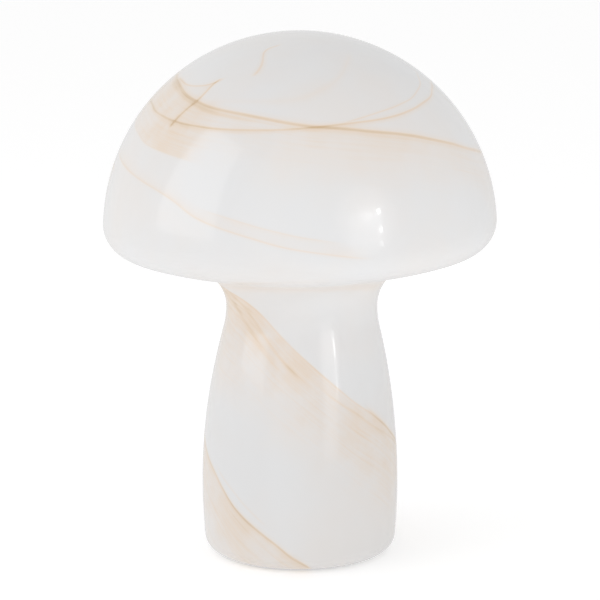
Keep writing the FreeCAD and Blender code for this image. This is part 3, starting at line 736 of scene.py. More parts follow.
def baked(source: Any, name: str) -> Any:
    """Turn an object with live modifiers into a plain one.

    Args:
        source: The object, which is removed.
        name: The new object's name.

    Returns:
        The plain object.
    """
    graph = bpy.context.evaluated_depsgraph_get()
    mesh = bpy.data.meshes.new_from_object(source.evaluated_get(graph))
    made = bpy.data.objects.new(name, mesh)
    bpy.context.scene.collection.objects.link(made)
    bpy.data.objects.remove(source)
    return made


def carved(piece: Any, cutter: Any, name: str) -> Any:
    """Cut one object's shape out of another.

    Args:
        piece: The object to cut, which is removed.
        cutter: The shape to cut out, which is removed.
        name: The new object's name.

    Returns:
        The result as a plain object.
    """
    cut = piece.modifiers.new("cut", "BOOLEAN")
    cut.object = cutter
    cut.operation = "DIFFERENCE"
    cut.solver = "EXACT"
    done = baked(piece, name)
    bpy.data.objects.remove(cutter)
    return done


class RingOfCopies:
    """Sets copies of one piece evenly round the axis."""

    INPUTS = {
        "Piece": "NodeSocketGeometry",
        "Count": "NodeSocketInt",
        "Radius": "NodeSocketFloat",
        "Start": "NodeSocketFloat",
        "Finish": "NodeSocketMaterial",
    }

    def __init__(self) -> None:
        """Build the tree, whose first input is the piece that the modifier sits on."""
        self.tree = bpy.data.node_groups.new("ring_of_copies", "GeometryNodeTree")
        face = self.tree.interface
        self.keys: dict[str, str] = {}
        for name, kind in self.INPUTS.items():
            self.keys[name] = face.new_socket(name, in_out="INPUT", socket_type=kind).identifier
        face.new_socket("Copies", in_out="OUTPUT", socket_type="NodeSocketGeometry")
        tree = NodeTree(self.tree)
        outputs = tree.node("NodeGroupInput", {}, {}).link.node.outputs
        piece, count, radius, start, finish = (Socket(tree, outputs[name]) for name in self.INPUTS)
        angle = tree.node("GeometryNodeInputIndex", {}, {}) * TURN / count + start
        place = tree.join(angle.math("COSINE") * radius, angle.math("SINE") * radius, 0.0)
        points = tree.node("GeometryNodePoints", {}, {"Count": count, "Position": place})
        turn = tree.node("FunctionNodeEulerToRotation", {}, {0: tree.join(0.0, 0.0, angle)})
        feeds = {"Points": points, "Instance": piece, "Rotation": turn}
        copies = tree.node("GeometryNodeInstanceOnPoints", {}, feeds)
        solid = tree.node("GeometryNodeRealizeInstances", {}, {"Geometry": copies})
        painted = tree.node("GeometryNodeSetMaterial", {}, {"Geometry": solid, "Material": finish})
        tree.feed(tree.nodes.new("NodeGroupOutput").inputs[0], painted)

    def lay(self, piece: Any, name: str, count: int, radius: float, start: float, finish: Finish) -> Any:
        """Lay the copies.

        Args:
            piece: The piece, made round the axis with its outer side towards X.
            name: The new object's name.
            count: How many copies there are.
            radius: The radius of their circle, in millimetres.
            start: The angle of the first, in degrees from X.
            finish: The finish that they take.

        Returns:
            One plain object with all the copies.
        """
        modifier = piece.modifiers.new("copies", "NODES")
        modifier.node_group = self.tree
        given = (count, radius * MM, math.radians(start), finished(finish))
        for key, value in zip(("Count", "Radius", "Start", "Finish"), given):
            modifier[self.keys[key]] = value
        return baked(piece, name)


# ---------------------------------------------------------------- pieces and their bodies


@dataclass
class Assembly:
    """Pieces that ride on one body, each standing for one of the frame's nodes."""

    body: str
    ring: RingOfCopies

    @staticmethod
    def span(node: str) -> tuple[float, float, float]:
        """Return a node's reach from the axis, its foot and its top, in millimetres."""
        low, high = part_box(node)
        return high.x / MM, low.z / MM, high.z / MM

    def fit(self, piece: Any, node: str, finish: Finish) -> None:
        """Finish a piece and put it in a node's place.

        Args:
            piece: The piece, already where the node is.
            node: The node that it stands for.
            finish: Its finish.
        """
        paint(piece.data, finish)
        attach(piece, self.body)
        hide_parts(node)
        log.info("%s: %s, %d faces", self.body, piece.name, len(piece.data.polygons))


# ---------------------------------------------------------------- glass body


@dataclass(frozen=True)
class Arc:
    """One arc of an outline, in millimetres."""

    across: float
    up: float
    radius: float

    def meets(self, other: "Arc") -> Point:
        """Find the point where this arc runs smoothly into another.

        Args:
            other: The arc that comes next.

        Returns:
            The point.
        """
        gap = math.dist((self.across, self.up), (other.across, other.up))
        side = 1.0 if self.radius > other.radius or gap > max(self.radius, other.radius) else -1.0
        reach = side * self.radius / gap
        return self.across + reach * (other.across - self.across), self.up + reach * (other.up - self.up)


def walk(arcs: Sequence[Arc], last: Point, pace: Sequence[float]) -> list[Point]:
    """Walk along arcs that run into each other.

    Args:
        arcs: The arcs, in order, the first starting straight above its centre.
        last: Where the last arc ends.
        pace: The greatest step along each arc, in millimetres.

    Returns:
        The points of the outline, in millimetres.
    """
    joints = [(0.0, arcs[0].up + arcs[0].radius)]
    joints += [one.meets(two) for one, two in zip(arcs, arcs[1:])]
    joints.append(last)
    points = [joints[0]]
    for arc, start, end, step in zip(arcs, joints, joints[1:], pace):
        begin = math.atan2(start[1] - arc.up, start[0] - arc.across)
        sweep = math.remainder(math.atan2(end[1] - arc.up, end[0] - arc.across) - begin, TURN)
        count = max(3, math.ceil(abs(sweep) * arc.radius / step))
        for number in range(1, count + 1):
            angle = begin + sweep * number / count
            points.append((arc.across + arc.radius * math.cos(angle), arc.up + arc.radius * math.sin(angle)))
    return points


@dataclass(frozen=True)
class Sway:
    """How the blown glass strays from its true shape, in millimetres.

    A wave is its height, how many times it goes round, its rise for each radian, and its start.
    """

    neck_level: float = 150.0
    neck_spread: float = 60.0
    neck_lean: float = 1.0
    neck_held: float = 0.7
    cap_level: float = 160.0
    cap_spread: float = 8.0
    cap_lean: float = 0.35
    cap_tilt: float = 0.0148
    crown_level: float = 190.0
    crown_rise: float = 105.0
    crown_lean: float = 0.25
    foot_rise: float = 30.0
    calm_radius: float = 30.0
    waves: tuple[tuple[float, int, float, float], ...] = ((0.22, 2, 41.0, 0.0), (0.12, 3, -27.0, 1.3))

    def shift(self, *place: float) -> Vector:
        """Return how far a place strays.

        Args:
            place: Its distances along X, Y and Z, in metres.

        Returns:
            The move, in metres.
        """
        x, y, z = place
        level = z / MM
        neck = math.exp(-(((level - self.neck_level) / self.neck_spread) ** 2))
        cap = 1.0 / (1.0 + math.exp(-(level - self.cap_level) / self.cap_spread))
        crown = max(0.0, min(1.0, (level - self.crown_level) / self.crown_rise))
        foot = min(1.0, max(0.0, level / self.foot_rise))
        lean = self.neck_lean * neck * (1 - self.neck_held * cap) * foot
        lean = lean - self.cap_lean * cap - self.crown_lean * crown**2
        turn = math.atan2(y, x)
        wave = 0.0
        for high, often, rise, start in self.waves:
            wave += high * math.sin(often * turn + level / rise + start)
        reach = math.hypot(x, y) / MM
        swell = wave * foot / reach * min(1.0, reach / self.calm_radius) if reach > ON_AXIS else 0.0
        return Vector((lean * MM + x * swell, y * swell, self.cap_tilt * x * cap * (1 - crown)))


@dataclass
class GlassBody(Assembly):
    """The blown glass: cap, neck and stem in one piece, sizes in millimetres."""

    node: str = "glass_shade"
    cap_radius: float = 110.0
    rim_radius: float = 17.5
    rim_level: float = 190.0
    underside_radius: float = 185.0
    underside_centre: float = 38.0
    fillet_radius: float = 24.0
    neck_radius: float = 42.5
    neck_bow: float = 47.0
    stem_radius: float = 55.3
    stem_bow: float = 376.0
    stem_level: float = 37.5
    heel_radius: float = 8.4
    inner_heel_radius: float = 5.0
    wall: float = 3.2
    lip_underside: float = 4.0
    mouth_radius: float = 37.0
    dish_radius: float = 43.6
    dish_slope: float = 1.4
    edge_round: float = 0.8
    notch_side: float = 5.0
    notch_level: float = 8.6
    notch_steps: int = 16
    notch_start: float = 22.2
    notch_end: float = 60.3
    notch_spare: float = 1.0
    steps: int = 288
    outer_pace: tuple[float, ...] = (3.0, 1.6, 2.0, 0.8, 2.0, 4.0, 1.1)
    inner_pace: tuple[float, ...] = (6.0, 3.0, 5.0, 2.0, 4.0, 8.0, 1.6)
    sway: Sway = Sway()

    def __post_init__(self) -> None:
        """Read the heights from the frame."""
        _, self.foot, self.top = self.span(self.node)

    def arcs(self, skin: float, floor: float, heel: float) -> list[Arc]:
        """Return the arcs from crown to heel.

        Args:
            skin: How far inside the outer face they run.
            floor: The level of the foot.
            heel: The radius of the heel.

        Returns:
            The arcs, in order.
        """
        dome = Arc(0.0, self.top - self.cap_radius, self.cap_radius - skin)
        reach = self.cap_radius - self.rim_radius
        across = math.sqrt(reach**2 - (self.rim_level - dome.up) ** 2)
        rim = Arc(across, self.rim_level, self.rim_radius - skin)
        reach = self.underside_radius - self.rim_radius
        lift = math.sqrt(reach**2 - (rim.across - self.underside_centre) ** 2)
        under = Arc(self.underside_centre, rim.up + lift, self.underside_radius - skin)
        stem = Arc(self.stem_radius - self.stem_bow, self.stem_level, self.stem_bow - skin)
        side = self.neck_radius + self.neck_bow
        lift = math.sqrt((self.stem_bow + self.neck_bow) ** 2 - (side - stem.across) ** 2)
        neck = Arc(side, stem.up + lift, self.neck_bow + skin)
        foot = floor + heel
        inner = stem.radius - heel
        heel_across = stem.across + math.sqrt(inner**2 - (stem.up - foot) ** 2)
        return [dome, rim, under, self.fillet(under, neck, skin), neck, stem, Arc(heel_across, foot, heel)]

    def fillet(self, under: Arc, neck: Arc, skin: float) -> Arc:
        """Return the arc in the crease between the underside and the neck.

        Args:
            under: The arc of the underside.
            neck: The arc of the neck.
            skin: How far inside the outer face it runs.

        Returns:
            The arc.
        """
        across, up = neck.across - under.across, neck.up - under.up
        apart = math.hypot(across, up)
        far = self.underside_radius + self.fillet_radius
        near = self.neck_bow - self.fillet_radius
        along = (far**2 - near**2 + apart**2) / (2 * apart)
        aside = math.sqrt(far**2 - along**2)
        return Arc(
            under.across + (along * across + aside * up) / apart,
            under.up + (along * up - aside * across) / apart,
            self.fillet_radius + skin,
        )

    def outline(self) -> tuple[list[Point], int]:
        """Return the whole section, crown to crown, and how many points are on the outer face."""
        lip_low, lip_top = self.lip_underside, self.lip_underside + self.wall
        arcs = self.arcs(0.0, self.foot, self.heel_radius)
        outer = walk(arcs, (arcs[-1].across, self.foot), self.outer_pace)
        arcs = self.arcs(self.wall, lip_top, self.inner_heel_radius)
        inner = walk(arcs, (arcs[-1].across, lip_top), self.inner_pace)
        soft, bevel = self.edge_round, self.edge_round * 0.3
        lip = [
            (self.dish_radius + self.dish_slope, self.foot),
            (self.dish_radius + self.dish_slope / 2, (self.foot + lip_low) / 2),
            (self.dish_radius, lip_low),
            (self.mouth_radius + soft, lip_low),
            (self.mouth_radius + bevel, lip_low + bevel),
            (self.mouth_radius, lip_low + soft),
            (self.mouth_radius, lip_top - soft),
            (self.mouth_radius + bevel, lip_top - bevel),
            (self.mouth_radius + soft, lip_top),
        ]
        return outer + lip + inner[::-1], len(outer)

    def notch(self) -> list[Point]:
        """Return the arched outline that is cut out at the back for the cord."""
        side, spare = self.notch_side, -self.notch_spare
        turns = [math.pi * number / self.notch_steps for number in range(self.notch_steps + 1)]
        arch = [(side * math.cos(turn), self.notch_level + side * math.sin(turn)) for turn in turns]
        return [(side, spare), *arch, (-side, spare)]

    def build(self) -> None:
        """Blow the glass, cut its notch, and finish it."""
        points, outside = self.outline()
        runs = [0.0]
        for start, end in zip(points, points[1:outside]):
            runs.append(runs[-1] + math.dist(start, end) * MM)
        runs += [1.0] * (len(points) - outside)
        blank = lathe("glass_blank", points, self.steps, self.sway.shift, runs=runs)
        cutter = prism("notch_cutter", self.notch(), self.notch_start, self.notch_end)
        self.fit(carved(blank, cutter, "blown_glass"), self.node, OpalGlass(swirls=SWIRLS))


# The strong line that winds down round the cap with its band, the finer ones that cross it, and
# the soft arc round the crown
CAP_LINES = (
    Swirl(((-112, 69), (-87, 72), (-70, 75.5), (-57, 80.5), (-46, 84.7), (-37, 87.6), (-25, 90), (-15, 92.4),
           (-3, 95.6), (11, 98.4), (23, 101.4), (36, 105), (53, 113), (82, 127), (130, 146), (180, 158),
           (215, 164)), 1.7, 0.38, 40, 0.2, fade=14, seed=1),
    Swirl(((-87, 74), (-57, 82), (-46, 86.5), (-37, 90), (-25, 93), (-15, 95)), 2.2, 0.16, seed=1.5),
    Swirl(((-130, 99), (-90, 92), (-77, 93), (-68, 95.6), (-59, 97.3), (-50, 98.9), (-41, 99.8), (-25, 100.4),
           (-10, 99.8), (7, 97.6), (22, 96), (33, 94.7), (48, 91.4), (56, 89), (66, 86.4), (77, 82), (92, 79),
           (140, 76), (190, 73)), 1, 0.28, 4, 0.14, seed=2),
    Swirl(((12, 97.5), (29, 91.4), (43, 87.2), (51, 84.7), (60, 80.5), (68, 77), (76, 72), (88, 67)),
          0.7, 0.2, seed=3),
    Swirl(((-45, 84), (-27, 82.2), (-14, 81.3), (-2, 79.6), (9, 73), (20, 63.7), (32, 49.5), (44, 40)),
          3.2, 0.045, 7, 0.06, fade=10, radius=60, seed=15),
)
# The warm patch on the left of the cap with its lower edge, the short strokes that cross it,
# the squiggle near the crown, and the faint lines low down
CAP_DETAILS = (
    Swirl(((-100, 96), (-82, 106.5), (-68, 111.5), (-61, 114.5), (-50, 117), (-40, 119.2), (-30, 121)),
          1, 0.08, -50, 0.36, fade=14, seed=7),
    Swirl(((-40, 66), (-43, 71.3), (-44, 78), (-45.2, 84), (-47.7, 90), (-50, 97), (-51.5, 104)),
          1.1, 0.34, -9, 0.12, 3, Run.DOWN, 75, 4),
    Swirl(((-77, 72.1), (-67, 73.8), (-58, 75.2), (-49, 73.8), (-44, 71.3), (-38, 64)),
          0.9, 0.24, 6, 0.12, fade=5, seed=5),
    Swirl(((-20, 27.7), (-23.4, 31.9), (-27.2, 35.2), (-28.6, 38.5), (-26.7, 44.4), (-24.1, 50.3),
           (-23, 56.2), (-23.6, 61), (-27, 65)), 1.1, 0.24, 4, 0.1, 5, Run.DOWN, 45, 6),
    Swirl(((-88, 124), (-68, 130), (-53, 135), (-42, 140), (-29, 150.5), (-14, 158), (-5, 162.5), (6, 166.5),
           (22, 171)), 0.8, 0.17, -8, 0.14, fade=10, seed=8),
    Swirl(((-32, 144), (-20, 148.5), (-8, 154), (3, 158.5), (14, 162)), 0.8, 0.13, 6, 0.12, seed=9),
)
# Painted shade as a warm darker ring all round the crease under the cap, then the broad band that winds down
# round the stem and the streaks in it, and the lower band with its streak
STEM_LINES = (
    # painted shade: a warm ring that darkens the crease under the cap all the way round
    Swirl(((-179, 238), (-90, 240), (-60, 241), (-30, 238), (0, 237), (40, 239), (80, 243), (130, 239),
           (181, 238)), 6, 0.12, fade=1, radius=50, seed=14),
    Swirl(((-110, 222), (-80, 241), (-62, 246), (-50, 248.7), (-40.5, 252.3), (-30, 257.8), (-17, 266.6),
           (-6.6, 274), (2, 280.1), (15, 290), (25.6, 298.4), (36.5, 307), (49, 315), (61, 323), (72, 331),
           (110, 352), (150, 374), (190, 400)), 0.8, 0.16, 60, 0.46, radius=48, seed=10),
    Swirl(((-75, 246), (-60, 254), (-48, 262), (-39, 267.6), (-29, 275.2), (-20.5, 281.4), (-13, 286.2)),
          2.6, 0.17, fade=7, radius=46, seed=10.3),
    Swirl(((-66, 245), (-47, 254.8), (-34, 263.7), (-21.4, 274), (-10.5, 283.2), (2, 293)),
          1.6, 0.14, fade=8, radius=46, seed=10.6),
    Swirl(((14, 298), (25, 305.8), (36, 313), (48, 321), (60, 327.5), (72, 334), (100, 348)),
          1.1, 0.14, fade=8, radius=50, seed=10.9),
    Swirl(((42, 309), (50, 314.8), (61, 322.5), (72, 330.5), (90, 341)),
          1.6, 0.26, fade=8, radius=50, seed=11.4),
    Swirl(((-162, 287), (-120, 312), (-90, 330), (-70, 343.6), (-60, 350.3), (-51.3, 357.7), (-44, 364.6),
           (-36.5, 370.5), (-26, 377.3), (-15, 384.4), (-5.4, 391.6), (3, 397), (9.4, 403)),
          1.2, 0.36, 74, 0.42, fade=6, radius=54, seed=11),
    Swirl(((-60, 345), (-49.6, 352.6), (-41.8, 358), (-36.5, 362.4), (-29, 368), (-18, 376)),
          0.7, 0.14, fade=8, radius=54, seed=11.7),
)
# The lines at the back, which carry on from those in front
BACK_LINES = (
    Swirl(((150, 96), (185, 110), (220, 122), (255, 128), (285, 136)), 1.1, 0.4, 24, 0.3, fade=14, seed=12),
    Swirl(((98, 238), (130, 254), (165, 271), (190, 283), (206, 291.5)),
          1.2, 0.36, 36, 0.38, radius=48, seed=13),
)
SWIRLS = CAP_LINES + CAP_DETAILS + STEM_LINES + BACK_LINES


# ---------------------------------------------------------------- base, holder and bulb


ZINC = Metal("zinc_steel", (0.62, 0.63, 0.65), 0.34, Grain.TURNED)
SPRING = Metal("spring_steel", (0.56, 0.57, 0.58), 0.26, Grain.ROLLED)
RIVET = Metal("rivet_aluminium", (0.78, 0.78, 0.79), 0.32)
SCREW = Metal("screw_steel", (0.6, 0.6, 0.61), 0.28, Grain.TURNED)
SHELL = Metal("shell_brass", (0.82, 0.62, 0.3), 0.24, Grain.TURNED)
CONTACT = Metal("contact_brass", (0.8, 0.58, 0.27), 0.3, Grain.ROLLED)
CAP_METAL = Metal("bulb_cap_metal", (0.72, 0.72, 0.73), 0.2, Grain.TURNED)
SOLDER = Metal("tip_solder", (0.55, 0.55, 0.56), 0.45)
SILICONE = Moulded("clear_silicone", grey(0.72), 0.35, glow=0.3)
BLACK_RUBBER = Moulded("black_rubber", grey(0.035), 0.62, 0.03 * MM, 900.0)
WHITE_RUBBER = Moulded("white_rubber", (0.7, 0.7, 0.68), 0.55)
COVER = Moulded("white_cover", (0.74, 0.74, 0.72), 0.48, 0.03 * MM, 1100.0)
HOLDER = Moulded("white_holder", (0.78, 0.775, 0.755), 0.3, coat=0.3)
CERAMIC = Moulded("contact_ceramic", (0.76, 0.74, 0.69), 0.6, 0.02 * MM)
VITRITE = Moulded("insulator_black", grey(0.02), 0.12, coat=0.6)
HOUSING = Moulded("bulb_housing_white", grey(0.8), 0.3, coat=0.25)
DOME = Moulded("bulb_dome_opal", (0.83, 0.83, 0.82), 0.42, glow=0.3)
BOARD = Moulded("board_white", grey(0.78), 0.4)
PHOSPHOR = Moulded("chip_phosphor", (0.82, 0.6, 0.12), 0.35, coat=0.5)
DRIVER = Moulded("driver_green", (0.03, 0.13, 0.05), 0.4, coat=0.4)

DRESSED = {
    "base_plate": ZINC, "bottom_cover": COVER, "cable_grommet": WHITE_RUBBER, "spring_clips": SPRING,
    "contact_block": CERAMIC, "centre_contact": CONTACT, "neutral_contact": CONTACT,
    "bulb_insulator": VITRITE, "bulb_tip_contact": SOLDER, "led_board": BOARD, "led_driver": DRIVER,
}
BULB_THREAD = Thread(pitch=3.629, depth=1.05, low=55.5, high=55.5 + 5 * 3.629)
THREAD_ROW = 0.3


@dataclass
class LampBase(Assembly):
    """The soft and riveted pieces of the base, sizes in millimetres."""

    gasket_bore: float = 37.6
    gasket_edge: float = 0.3
    foot_count: int = 3
    foot_circle: float = 39.2
    foot_radius: float = 3.5
    foot_dish: float = 2.0
    foot_hollow: float = 0.3
    foot_edge: float = 0.5
    rivet_count: int = 3
    rivet_circle: float = 25.0
    rivet_radius: float = 1.6
    rivet_head: float = 2.6
    rivet_head_height: float = 1.0
    rivet_pin: float = 0.8
    rivet_pin_depth: float = 0.45
    rivet_edge: float = 0.35

    def gasket(self) -> None:
        """Lay the silicone ring under the glass."""
        reach, low, high = self.span("glass_gasket")
        ring = softened(band(self.gasket_bore, reach, low, high), self.gasket_edge)
        self.fit(lathe("silicone_ring", ring), "glass_gasket", SILICONE)

    def feet(self) -> None:
        """Stick the dished rubber feet under the flange."""
        _, low, high = self.span("rubber_feet")
        hollow, dish = low + self.foot_hollow, self.foot_dish
        side = [(0.0, hollow), (dish * 0.8, hollow), (dish, low), (self.foot_radius, low),
                (self.foot_radius, high), (0.0, high)]
        foot = lathe("foot", softened(side, self.foot_edge), steps=40, crisp=50.0)
        copies = self.ring.lay(foot, "dished_feet", self.foot_count, self.foot_circle, 90.0, BLACK_RUBBER)
        self.fit(copies, "rubber_feet", BLACK_RUBBER)

    def rivets(self) -> None:
        """Set a domed rivet with its broken pin through each clip."""
        _, low, high = self.span("clip_rivets")
        pin, shank, head = self.rivet_pin, self.rivet_radius, self.rivet_head
        pin_top = high - self.rivet_pin_depth
        grip_low, grip_high = low + self.rivet_head_height, high - self.rivet_head_height
        side = [(0.0, pin_top), (pin, pin_top), (pin, high), (head * 0.72, high - 0.1), (head, grip_high),
                (shank, grip_high), (shank, grip_low), (head, grip_low), (head * 0.8, low), (0.0, low)]
        rivet = lathe("rivet", softened(side, self.rivet_edge), steps=36, crisp=50.0)
        copies = self.ring.lay(rivet, "blind_rivets", self.rivet_count, self.rivet_circle, 0.0, RIVET)
        self.fit(copies, "clip_rivets", RIVET)

    def build(self) -> None:
        """Build all its pieces."""
        self.gasket()
        self.feet()
        self.rivets()


@dataclass
class LampHolder(Assembly):
    """The threaded tube, its nut and washer, and the two-part lamp holder, in millimetres."""

    bore_gap: float = 0.1
    tube_bore: float = 3.6
    tube_edge: float = 0.4
    tube_pitch: float = 1.0
    tube_depth: float = 0.5
    nut_flats: float = 13.0
    nut_chamfer: float = 30.0
    washer_teeth: int = 12
    washer_tooth: float = 1.3
    washer_edge: float = 0.12
    wall: float = 2.2
    boss_radius: float = 8.5
    boss_height: float = 7.8
    collar_radius: float = 18.3
    collar_gap: float = 0.3
    band_height: float = 3.2
    dome_edge: float = 2.4
    sleeve_lip: float = 1.9
    sleeve_taper: float = 0.4
    sleeve_bevel: float = 0.95
    sleeve_wall: float = 1.9
    sleeve_edge: float = 0.7
    mouth_radius: float = 14.6
    flutes: int = 48
    flute_depth: float = 0.3
    flute_margin: float = 5.0
    flute_skin: float = 0.9
    flute_row: float = 1.0
    shell_wall: float = 0.4
    shell_edge: float = 0.15
    shell_floor_bore: float = 9.0
    shell_still: float = 11.0
    screw_count: int = 2
    screw_circle: float = 10.0
    screw_head: float = 2.8
    screw_head_height: float = 1.8
    screw_radius: float = 1.5
    screw_edge: float = 0.4
    screw_slot: float = 0.8

    def bore(self) -> float:
        """Return the radius of the holes that the threaded tube goes through."""
        return self.span("threaded_nipple")[0] + self.bore_gap

    def tube(self) -> None:
        """Cut the threaded tube."""
        reach, low, high = self.span("threaded_nipple")
        section = softened(band(self.tube_bore, reach, low, high), self.tube_edge)
        rows = divided(section, low, high, self.tube_pitch / 8)
        thread = Thread(self.tube_pitch, self.tube_depth, low, high)
        roll = radial(thread.push, (self.tube_bore + reach) / 2)
        self.fit(lathe("metric_tube", rows, 64, roll), "threaded_nipple", SCREW)

    def nut(self) -> None:
        """Cut the hexagon nut with its chamfers."""
        reach, low, high = self.span("nipple_nut")
        bore, flat = self.bore(), self.nut_flats / 2
        chamfer = (reach - flat) * math.tan(math.radians(self.nut_chamfer))
        ring = [(bore, low), (flat, low), (reach, low + chamfer), (reach, high - chamfer), (flat, high),
                (bore, high)]

        def push(angle: float, radius: float, _: float) -> float:
            """Return how far the flats lie inside the round blank."""
            return min(0.0, flat / math.cos(angle % (TURN / 6) - TURN / 12) - radius)

        self.fit(lathe("hexagon_nut", ring, 96, radial(push, flat), crisp=28.0), "nipple_nut", SCREW)

    def washer(self) -> None:
        """Stamp the toothed washer."""
        reach, low, high = self.span("toothed_washer")
        bore = self.bore()
        ring = softened(band(bore, reach, low, high), self.washer_edge, 2)

        def push(angle: float, _: float, __: float) -> float:
            """Return how deep the gap between two teeth is."""
            share = abs(2 * (angle / TURN * self.washer_teeth % 1.0) - 1)
            return -self.washer_tooth * (1 - share)

        teeth = radial(push, (bore + reach) / 2)
        self.fit(lathe("star_washer", ring, 8 * self.washer_teeth, teeth, 50.0), "toothed_washer", SPRING)

    def cap(self) -> None:
        """Mould the domed lower part of the holder."""
        reach, low, high = self.span("holder_cap")
        bore, boss, wall, collar = self.bore(), self.boss_radius, self.wall, self.collar_radius
        band_top = self.span("holder_sleeve")[1]
        band_low = band_top - self.band_height
        boss_top = low + self.boss_height
        flare = (boss + reach) / 2
        flare_level = (boss_top + band_low) / 2 - self.band_height / 2
        inner = collar - wall + self.collar_gap
        side = [
            (bore, low), (boss, low), (boss, boss_top - wall), (flare, flare_level - wall / 2),
            (reach, band_low), (reach, band_top), (collar, band_top), (collar, high), (inner, high),
            (inner, band_low + wall), (flare, flare_level + wall), (boss, boss_top), (bore, boss_top),
        ]
        dome = softened(side, self.dome_edge, 6)
        self.fit(lathe("holder_dome", dome, 128, crisp=60.0), "holder_cap", HOLDER)

    def sleeve(self) -> None:
        """Mould the fluted upper part of the holder."""
        reach, low, high = self.span("holder_sleeve")
        shoulder = high - self.sleeve_lip
        outer = reach - self.sleeve_taper
        mouth = self.mouth_radius
        side = [
            (reach - self.sleeve_wall, low), (reach, low), (outer, shoulder),
            (outer - self.sleeve_bevel, high), (mouth, high), (mouth, shoulder),
            (outer - self.sleeve_wall, shoulder),
        ]
        flute_low, flute_high = low + self.flute_margin, shoulder - self.flute_margin

        def push(angle: float, _: float, level: float) -> float:
            """Return how deep the grip flutes are."""
            runout = max(0.0, min(1.0, level - flute_low, flute_high - level))
            return -self.flute_depth * runout * (0.5 - 0.5 * math.cos(angle * self.flutes))

        rows = divided(softened(side, self.sleeve_edge), low + 1.0, high - 3.0, self.flute_row)
        grip = radial(push, reach - self.flute_skin)
        self.fit(lathe("holder_grip", rows, 8 * self.flutes, grip, 60.0), "holder_sleeve", HOLDER)

    def screw_shell(self) -> None:
        """Roll the brass shell that the bulb screws into."""
        reach, low, high = self.span("holder_screw_shell")
        inner, floor, bore = reach - self.shell_wall, low + self.shell_wall, self.shell_floor_bore
        side = [(bore, low), (reach, low), (reach, high), (inner, high), (inner, floor), (bore, floor)]
        rows = divided(softened(side, self.shell_edge, 2), low + 1.0, high, THREAD_ROW)
        roll = radial(BULB_THREAD.push, self.shell_still)
        self.fit(lathe("rolled_shell", rows, 96, roll, 60.0), "holder_screw_shell", SHELL)

    def screws(self) -> None:
        """Cut the two slotted terminal screws."""
        _, low, high = self.span("terminal_screws")
        head, shank, under = self.screw_head, self.screw_radius, low + self.screw_head_height
        side = [(0.0, low), (head, low), (head, under), (shank, under), (shank, high), (0.0, high)]
        wide = self.screw_slot
        slot = band(-head - 1.0, head + 1.0, low - 1.0, low + wide)
        cutter = prism("slot_cutter", slot, -wide / 2, wide / 2)
        blank = lathe("screw", softened(side, self.screw_edge), steps=36, crisp=50.0)
        screw = carved(blank, cutter, "slotted_screw")
        copies = self.ring.lay(screw, "slotted_screws", self.screw_count, self.screw_circle, 90.0, SCREW)
        self.fit(copies, "terminal_screws", SCREW)

    def build(self) -> None:
        """Build all its pieces."""
        for make in (self.tube, self.nut, self.washer, self.cap, self.sleeve, self.screw_shell, self.screws):
            make()


